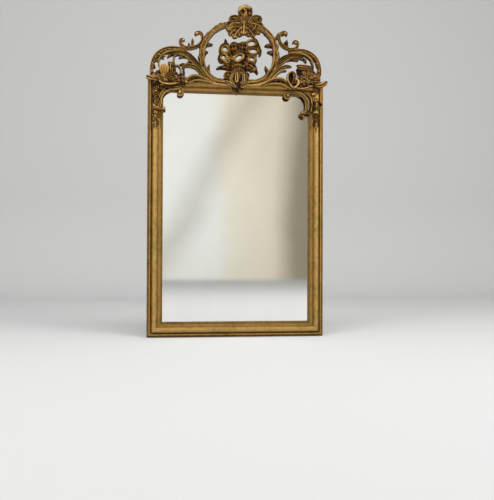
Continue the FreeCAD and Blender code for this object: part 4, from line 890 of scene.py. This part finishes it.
def build_finial():
    """Upright leaf with a curled tip between two side curls."""
    carving = Carving(BOARD_FRONT + 12, APPLIED_FRONT, 1.22)
    # A dark pillow behind the neck and the curls: painted shade in the gaps.
    carving.pillow((239.4, 16.4, 244.6, 14.4, 250.6, 16.4, 254.2, 18.6, 257.6, 21.8, 253.6, 24.4, 244.4, 24.8,
        235, 24.2, 231.6, 22, 235.4, 18.8), -10, -7, (0.1, 0.3))
    carving.leaf((245, 21, 245.4, 15.4, 245.8, 10, 245.8, 3.7), 64, 3, -3, 4.6, 0.74, curl=0.9, deep=0.06,
        blunt=0.22)
    carving.leaves((
        ((247.6, 20, 249.6, 15, 251.2, 10.6, 249.8, 5.8), 18, 3, -2, 3, 0.6),
        ((243.4, 19, 241.6, 14, 240.4, 10, 241.8, 5.8), 18, 3, -2, 3, 0.8)), curl=0.6, deep=0.1)
    carving.rod((239, 11.6, 240.4, 8.4, 243.4, 6.6, 247.2, 6.4, 250.2, 8.6), (9, 16, 18, 15, 8), -0.5, 0.86,
        crown=0.7)
    carving.ball((244.5, 9.8), 5.6, -7)
    carving.leaf((244.4, 27, 244.5, 21.6, 244.7, 16.6, 245, 11.4), 36, 3, 0, 3, 0.86, curl=0.8, deep=0.1)
    eye = [(3.6 * math.cos(step * math.pi / 4), 2.8 * math.sin(step * math.pi / 4)) for step in range(8)]
    curl = (8.6, 5, 6.4, 0.6, 4, -2.2, 0.4, -3, -3.2, -1.8, -3.9, 1.2, -1.6, 3, 1.4, 2.2, 1.8, 0.2, 0.2, -0.8)
    for x, y, turn in ((234.2, 18.6, 1), (257.2, 18.7, -1)):
        # Dark pillows in the eyes of the curls: painted shade.
        carving.pillow(around(x, y, eye), -11, -9, (0.04, 0.2), 24)
        carving.band(around(x, y, curl, turn), (12, 15, 15, 15, 14, 12, 11, 10, 8, 5), -1, 0.7, crown=0.7,
                     flip=turn < 0)
        carving.leaf(around(x, y, (7.6, 3.6, 5.4, 0.4, 2, -1.2, -1.8, -1), turn), 17, 3, -1, 2.2, 0.8, curl=0.8,
                     thick=0.6)
    piece = carving.build("carved_finial")
    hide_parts("finial")


def build_foliage_left():
    """Shell, leaf tip and flower spray on the left corner of the rail."""
    carving = Carving(RAIL_FRONT, APPLIED_FRONT)
    carving.shell((165, 83), 94, 38, 84, 4, -4, 0.86)
    carving.pillow((150.6, 74.8, 154, 73.4, 158.4, 72.6, 162.4, 74, 165.6, 77.2, 166, 80.4, 162, 81.2, 157, 80,
        151.4, 78.6), -10, -6, (0.16, 0.36))
    carving.leaves((
        ((168.4, 80.2, 161.8, 77.6, 155.6, 76, 150.4, 75.4), 30, 3, -3, 3),
        ((167.6, 81, 165.6, 77.8, 163.6, 75.2, 162.6, 72), 24, 2, -1, 2.6, 1.2),
        ((161.4, 80.4, 159, 77.6, 157, 75.4, 155.8, 72.4), 19, 2, -2, 2.6, 0.8),
        ((163, 81, 157.6, 79.8, 152.4, 78.9, 147.8, 78), 13, 3, -1, 2.6, 0.96),
        ((171.6, 76, 170.8, 71, 170.4, 66.4, 170.8, 61), 25, 3, -4, 3.2, 0.86),
        ((174.6, 76, 174.8, 71, 174.6, 66, 174.2, 61), 11, 3, -2, 1.6, 0.7),
        ((170.4, 80, 175.6, 77.4, 180.4, 76.4, 185, 77.8), 16, 3, -1, 2.2, 0.86),
        ((172, 82.2, 177, 80.2, 181.4, 79.8, 185.6, 81.4), 15, 3, -1, 2.2, 0.86),
        ((175, 78, 178.6, 75, 182, 73.8, 185.2, 74.6), 12, 2, -2, 2.2, 0.6),
        ((172, 84, 177, 83.2, 181.4, 83.2, 185.6, 84.6), 13, 3, -3, 2.2, 0.6),
        ((161, 82.4, 157.8, 82.6, 154.8, 83.2, 152.2, 85.6), 16, 3, -1, 2.4, 0.4),
        ((163, 85.2, 166.4, 87, 170.4, 87, 174.8, 86.2), 12, 3, -1, 2, 0.6)), curl=0.7, deep=0.12, thick=0.5)
    carving.band((155, 78.6, 152.2, 77.8, 149, 76.8, 146.1, 75.9), (10, 17, 19, 15), -2, 0.8, crown=0.5,
        flip=True, ends=(True, False))
    carving.rosettes((
        ((168.6, 73.4), 11, -1),
        ((173.2, 73), 10, -2),
        ((170.6, 77.8), 12, 0),
        ((175, 77), 9, -3),
        ((166.4, 77), 8, -2),
        ((171.4, 70.2), 8, -3),
        ((176.4, 73), 7, -3),
        ((173.6, 80.6), 9, -2)), bright=0.66, boss=0.34)
    carving.rod((158.8, 79.6, 160.6, 81.6, 164.6, 83.2, 169.8, 83.8, 174.8, 83.2, 178.4, 82.4), (6, 8, 8, 8, 8,
        5), -3, 0.84)
    piece = carving.build("carved_foliage_left")
    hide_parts("corner_foliage_left")


def build_foliage_right():
    """Leaf fan, flower spray, leaf tip and ribbon loop on the right corner of the rail."""
    carving = Carving(RAIL_FRONT, APPLIED_FRONT)
    # A dark pillow behind the spray: painted shade.
    carving.pillow((299, 86, 298.8, 80, 300.2, 73.6, 299.4, 66.8, 311, 66.8, 313, 74, 315.4, 80.6, 313.6, 86, 306,
        88), -12, -9, (0.04, 0.18))
    carving.pillow((311.6, 75.4, 315.2, 74.6, 319.6, 77, 320.6, 81.4, 319.4, 86.2, 313.4, 86.6, 311, 81), -11, -8,
        (0.12, 0.3))
    # A nearly black pillow in the ribbon loop: painted shadow in the opening.
    carving.pillow((289.4, 73.6, 292.4, 72.4, 294.2, 76, 293, 81, 290.8, 84, 288.8, 80.4, 288.6, 76.6), -13, -12,
        (0, 0.06))
    # A nearly black pillow between the ledge and the flowers: painted shade.
    carving.pillow((295.8, 69.4, 298.6, 67.6, 301.6, 69.4, 301.8, 74.8, 299.6, 76.4, 297, 75.6), -13, -12.5, (0,
        0.04))
    carving.leaves((
        ((309, 82, 305.16, 74, 297.4, 66), 18),
        ((309, 80, 306.76, 72.6, 301.4, 65.2), 20),
        ((309.4, 80, 308.52, 72.5, 305.2, 65), 20),
        ((309.8, 80, 310.28, 72.6, 309, 65.2), 20),
        ((310.2, 80, 311.88, 73.2, 312.4, 66.4), 18)), lobes=4, out=-6.5, power=3, bright=0.44, curl=0.4,
         deep=0.1, thick=0.5)
    carving.bands((
        ((296.4, 65.4, 300, 65.6, 304.4, 65.8, 308.6, 66.4, 312.4, 67), (9, 12, 13, 12, 9)),
        ((297.4, 68.6, 301.6, 68.2, 305.4, 68.6, 309.2, 69.8, 312.2, 71.8), (6, 10, 12, 11, 6))), out=-4.5,
         bright=0.66)
    carving.leaves((
        ((309, 79, 313, 76.6, 317, 76.6, 320.6, 79.6), 26, 3, -3, 3.2, 0.84),
        ((310, 83, 314, 81.6, 317.6, 81.6, 320.6, 83.6), 24, 3, -2, 3, 0.72),
        ((299.4, 87.6, 302.6, 85, 306.4, 84.2, 310.6, 85), 15, 3, -1, 2.4, 0.7),
        ((303.6, 80, 300.6, 79.2, 298.8, 77.2, 299, 74.8), 12, 2, -1, 2.2, 0.9),
        ((309.6, 69.6, 311.6, 68.8, 313.2, 67.2, 313.8, 64.4), 11, 2, -3, 2.2, 0.8),
        ((310.8, 77.8, 314.4, 75.6, 317.2, 74.8, 320.2, 75.8), 17, 3, -2, 2.8),
        ((311, 85.6, 314.6, 86.6, 317.6, 86.6, 320.2, 85.2), 12, 3, -2, 2.2, 0.6)), curl=0.7, deep=0.12,
         thick=0.5)
    carving.band((315.4, 85.2, 319.6, 85.4, 323.6, 84.2, 326.2, 82.2, 327, 80.6), (12, 18, 20, 18, 12), -1, 0.8,
        flip=True)
    carving.rosettes((
        ((304.4, 72.8), 9, -2),
        ((308.6, 73.2), 9, -1),
        ((302.2, 77), 8, -1),
        ((306.4, 77), 10, 0),
        ((310.6, 77.2), 8, -2),
        ((304, 81.4), 9, -2),
        ((308.4, 81.2), 10, -1),
        ((311.8, 73.8), 7, -3),
        ((300.8, 81.8), 8, -2)))
    carving.rod((292.8, 70.8, 289.4, 72.6, 287.6, 76.8, 288.6, 81.4, 291.2, 85.4, 294.2, 88.4), (7, 8, 9, 9, 10,
        8), 0, 0.78)
    carving.band((292, 70.8, 294.6, 73.6, 295.2, 77.4, 293.8, 81.4, 291.4, 84.4), (8, 14, 15, 11, 7), -1, 0.7,
        crown=0.65)
    carving.rods((
        ((295, 78.4, 297.8, 79.6, 298.8, 82.2, 297.2, 85.4, 293.8, 88.4), (8, 11, 12, 11, 8), 0, 0.9),
        ((294.8, 86.8, 299, 88.2, 304.2, 88.2, 309.6, 86.6, 313, 85.4), (5, 7, 7, 7, 5), -3, 0.8)))
    piece = carving.build("carved_foliage_right")
    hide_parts("corner_foliage_right")


def build_spandrel_left():
    """C-scroll over the upper left corner of the glass."""
    carving = Carving(SPANDREL_BACK, BOARD_FRONT, 1.44)
    carving.band((177.8, 92, 178.2, 93.6, 180.6, 94, 182.4, 91.7, 181, 88.7, 177, 87.3, 171.4, 87.3, 166.8, 88.6,
        163.5, 91.2, 160.9, 94.9, 159.3, 99.6, 159, 104.2, 160.8, 107.6, 164.4, 108.4), (9, 12, 13, 14, 15, 13,
        12, 13, 15, 15, 14, 14, 14, 10), 0, crown=0.7)
    carving.rod((180.4, 89.4, 175.8, 88.7, 171, 88.8, 167.2, 90.2, 164.5, 92.4, 162.2, 96, 161.1, 100, 160.9,
        104), (4, 5, 5, 6, 6, 6, 5, 4), 3)
    carving.ball((179.7, 92), 7.6, -6)
    carving.ball((163.6, 108.3), 8.4, -6)
    carving.leaves((
        ((164.2, 91.8, 162, 89.4, 162.6, 86.8, 165.8, 85.6), 18, 3, 0),
        ((168.2, 89.8, 167.2, 87.6, 168.8, 86.2, 171.8, 86), 14, 2, -1),
        ((159.8, 103, 158, 100, 157.6, 97, 159, 94), 16, 3, 0, 2.2, 0.7)), curl=0.7)
    piece = carving.build("carved_spandrel_left")
    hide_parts("spandrel_scroll_left")


def build_spandrel_right():
    """C-scroll with an outer ledge over the upper right corner of the glass."""
    carving = Carving(SPANDREL_BACK, BOARD_FRONT, 1.05)
    carving.band((290, 95.8, 289.4, 97.5, 286.8, 97.6, 285.2, 95.4, 287, 92.9, 291.6, 92.3, 297.6, 93.2, 302.6,
        95.8, 305.5, 99.8, 306.7, 104.4, 306.4, 108.8, 304.6, 111.8, 301.6, 113), (8, 10, 12, 13, 12, 10, 9, 9, 9,
        9, 10, 10, 9), 0, crown=0.7, flip=True)
    carving.rods((
        ((294, 91.4, 300.4, 92.4, 305.4, 95.8, 308.2, 100.4, 309.1, 105.6, 308.2, 110.8), (5, 6, 7, 7, 7, 6), 2,
         1.1),
        ((303.4, 92.6, 308.2, 94.4, 311.2, 98.4, 312.3, 103.6, 311.9, 108.4, 310.6, 112.4), (4, 6, 8, 8, 7, 5),
         -1, 0.95),
        ((300, 93.6, 305.6, 96.6, 309.2, 101, 310.4, 106, 309.4, 111.2), (5, 9, 11, 10, 6), -6, 0.3)), crown=0.7)
    carving.ball((287.9, 95.6), 7.6, -6)
    carving.ball((302, 113.2), 7.6, -6)
    carving.leaf((303.2, 97.6, 304.1, 94.8, 302.2, 92.2, 298.4, 91.6), 15, 3, 0, 2.2, 0.7, curl=0.7)
    carving.leaves((
        ((305.2, 112, 308, 113.2, 310.6, 112.4, 312.2, 110), 14, 3, 0),
        ((300.6, 113, 301.4, 115.2, 303.2, 116.8, 305.4, 117.4), 12, 2, -1)))
    piece = carving.build("carved_spandrel_right")
    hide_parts("spandrel_scroll_right")


def build_drop_left():
    """Flowers, leaves and a bar down the left stile."""
    carving = Carving(DROP_BACK, DROP_FRONT, 1.22)
    carving.rosettes((
        ((156.4, 86.6), 13, 0, 6, 0.8, 0.62),
        ((156, 93.4), 14, 0, 6, 0.9, 0.55),
        ((154.9, 114.8), 13, 0, 5, 1.05, 0.6, 0.3),
        ((156.6, 118.8), 8, 0, 5, 1, 0.8)))
    carving.leaves((
        ((155.4, 104.6, 154, 100.6, 153.4, 96.4, 153.8, 91), 15, 3, -1, 2.6, 0.5),
        ((157.4, 104.6, 158.4, 100.4, 158.8, 96, 158.2, 90.6), 14, 3, -1, 2.4, 0.55),
        ((156.2, 105.4, 156.4, 101, 156, 97.6, 156.4, 93.6), 13, 3, 1, 2.6, 0.85),
        ((156.2, 93, 154.6, 90, 154, 87.4, 154.6, 83.6), 12, 3, -1, 2.4, 0.6),
        ((156.8, 92, 158.4, 89.4, 158.8, 86.8, 158.2, 83), 12, 3, -1, 2.4, 0.5),
        ((154.2, 111.6, 152.8, 110.4, 152.2, 111.8, 151.6, 114), 11, 2, -3, 2.2, 0.7),
        ((155.6, 118, 158, 116.6, 158.8, 114.2, 158.2, 111.6), 12, 3, -2, 2.2, 0.8),
        ((155, 117.6, 153.9, 120.6, 153.7, 123.8, 154.4, 127.4), 17, 3, 0, 2.6, 1.15),
        ((156.6, 118.8, 157.6, 121.2, 157.6, 123.6, 156.8, 126.2), 12, 3, -1, 2.2, 0.7),
        ((156, 122, 156, 124.4, 155.9, 126.6, 156.2, 129), 9, 3, -2, 2, 0.6)), curl=0.4)
    carving.rod((161.2, 108.1, 158.4, 107.8, 155.2, 107.6, 152.2, 107.4), (17, 22, 22, 15), 0, 0.44)
    piece = carving.build("carved_drop_left")
    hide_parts("stile_drop_left")


def build_drop_right():
    """Flowers, leaves and two bars down the right stile."""
    carving = Carving(DROP_BACK, DROP_FRONT, 1.22)
    carving.rosettes((
        ((316, 99), 15.5, 0, 6, 0.72, 1.1),
        ((315.6, 90.6), 11, 0, 5, 0.9, 0.6),
        ((316.8, 107.4), 9, 0, 5, 1, 0.7),
        ((316.8, 116.6), 9, 0, 5, 1, 0.5, 0.3)))
    carving.leaves((
        ((316.2, 95.4, 317.8, 92.6, 318.2, 90, 317.6, 86.8), 12, 3, -1, 2.4, 0.6),
        ((314.8, 94, 313.8, 91.6, 313.8, 89.2, 314.6, 86.8), 11, 3, -1, 2.4, 0.8),
        ((316, 100.6, 318.4, 101.8, 320.4, 103, 322.4, 105.2), 15, 3, -1, 2.6, 0.42),
        ((315.4, 100.8, 313.4, 102.6, 312.6, 104.8, 313.2, 107.8), 14, 3, -1, 2.6, 0.42),
        ((316.2, 101.4, 316, 104.6, 315.4, 107.6, 315.6, 111), 12, 3, 0, 2.4, 0.55),
        ((317.6, 103.4, 318.8, 106, 318.8, 108.6, 317.8, 111), 12, 3, -1, 2.4, 0.9),
        ((316.6, 113, 314.6, 115, 314.2, 117.4, 315, 120.4), 14, 2, -1, 3, 0.62),
        ((317, 113, 319, 115, 319.4, 117.4, 318.6, 120.4), 14, 2, -1, 3, 0.56),
        ((316.8, 112.6, 316.8, 115.4, 316.8, 118, 316.8, 120.8), 13, 2, 1, 3, 0.75),
        ((316.4, 120, 314.8, 122, 314, 124.4, 314.4, 127.4), 12, 3, -1, 2.4, 0.5),
        ((317, 120, 318.4, 122, 319, 124.4, 318.4, 127), 12, 3, -1, 2.4, 0.5),
        ((316.7, 120.6, 316.6, 124.4, 316.6, 128, 316.7, 132), 11, 4, 0, 2.2, 0.8)), curl=0.4)
    carving.rods((
        ((311.8, 94.6, 313.6, 93.9, 315.6, 94.2), (9, 13, 9), 0, 1.15),
        ((313.8, 112, 316.2, 112.5, 318.6, 111.8), (8, 10, 8), 0, 1.2)))
    piece = carving.build("carved_drop_right")
    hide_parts("stile_drop_right")


# Floor, backdrop, light and camera.

def build_stage():
    """One pale sheet: level floor, a wide curve, and a wall behind."""
    near, turn_at, radius, half, tall, steps = -7.0, 2.6, 0.9, 14.0, 5.0, 12
    profile = [(near, 0.0), (turn_at, 0.0)]
    for step in range(1, steps + 1):
        angle = math.pi / 2 * step / steps
        profile.append((turn_at + radius * math.sin(angle), radius - radius * math.cos(angle)))
    profile.append((turn_at + radius, tall))
    points = [(side * half, y, z) for y, z in profile for side in (-1, 1)]
    faces = [(2 * row, 2 * row + 1, 2 * row + 3, 2 * row + 2) for row in range(len(profile) - 1)]
    material, graph, shader = new_material("studio_paper")
    graph.fill(shader, {"Base Color": srgb(208, 209, 210), "Roughness": 0.9, "Specular IOR Level": 0.1})
    floor = add_mesh("studio_floor", points, faces, material)


ROOM_PALE = srgb(240, 241, 236)
ROOM_CREAM = srgb(236, 229, 212)
ROOM_SAND = srgb(226, 216, 196)
ROOM_TAUPE = srgb(146, 138, 119)


def build_world():
    """Soft pale room: a pale left, a cream middle and a taupe right in front of the mirror."""
    world = bpy.data.worlds.new("soft_room")
    bpy.context.scene.world = world
    world.use_nodes = True
    graph = Graph(world.node_tree)
    direction = graph.add("TexCoord", "Generated", {})
    x, y, z = graph.split(direction)
    sway = graph.maths("SUBTRACT", graph.noise(direction, 5.0, 2.0), 0.5)
    across = graph.maths("ADD", x, graph.maths("MULTIPLY", sway, 0.06))
    room = graph.ramp(graph.span(across, -0.06, 0.24), (0.0, ROOM_PALE), (0.40, ROOM_PALE), (0.48, ROOM_CREAM),
                      (0.72, ROOM_SAND), (0.84, ROOM_TAUPE), (1.0, ROOM_TAUPE))
    slope = graph.maths("MULTIPLY", across, 1.78)
    off_edge = graph.maths("ABSOLUTE", graph.maths("SUBTRACT", graph.maths("SUBTRACT", z, slope), 0.042))
    shadow = graph.maths("MULTIPLY", graph.span(off_edge, 0.075, 0.0), 0.38)
    low = graph.maths("MULTIPLY", graph.span(z, 0.10, -0.06), 0.22)
    ahead = graph.span(graph.maths("MULTIPLY", y, -1.0), 0.80, 0.93)
    sky = graph.ramp(graph.span(z, -0.5, 0.9), (0.0, srgb(128, 118, 104)), (0.4, srgb(200, 199, 195)),
                     (1.0, srgb(200, 200, 199)))
    seen = graph.mix(low, graph.mix(shadow, room, ROOM_TAUPE), ROOM_TAUPE)
    graph.fill(world.node_tree.nodes["Background"], {"Color": graph.mix(ahead, sky, seen), "Strength": 1.0})


# Name, place, aim, width and height, power, colour.

AREA_LIGHTS = (
    ("left", (-3.0, -2.8, 2.6), (0, 0, 0.9), (2.0, 2.0), 58, (1.0, 0.98, 0.95)),
    ("right", (3.0, -2.4, 2.6), (0, 0, 0.9), (2.0, 2.0), 80, (1.0, 0.97, 0.93)),
    ("top", (0.0, -1.3, 3.3), (0, 0, 0.7), (1.8, 0.8), 42, (1.0, 1.0, 1.0)),
)


def build_lights():
    for name, place, aim, size, power, colour in AREA_LIGHTS:
        data = bpy.data.lights.new(name, "AREA")
        data.shape = "RECTANGLE"
        data.size, data.size_y = size
        data.energy = power
        data.color = colour
        light = bpy.data.objects.new(name, data)
        light.location = place
        light.rotation_euler = (Vector(aim) - Vector(place)).to_track_quat("-Z", "Y").to_euler()
        bpy.context.collection.objects.link(light)


def build_camera():
    data = bpy.data.cameras.new("camera")
    data.sensor_fit = "AUTO"
    data.sensor_width = SENSOR
    data.lens = FOCAL_PIXELS * SENSOR / max(IMAGE_WIDTH, IMAGE_HEIGHT)
    camera = bpy.data.objects.new("camera", data)
    camera.matrix_world = Matrix.Translation(CAMERA_AT) @ camera_turn.to_4x4()
    bpy.context.collection.objects.link(camera)
    bpy.context.scene.camera = camera
    bpy.context.scene.view_settings.view_transform = "Standard"


for build in (
        dress_nodes, build_crest_ring, build_wing_left, build_wing_right, build_cartouche, build_cartouche_foot,
        build_palmette, build_finial, build_foliage_left, build_foliage_right, build_spandrel_left,
        build_spandrel_right, build_drop_left, build_drop_right, build_stage, build_world, build_lights,
        build_camera):
    build()
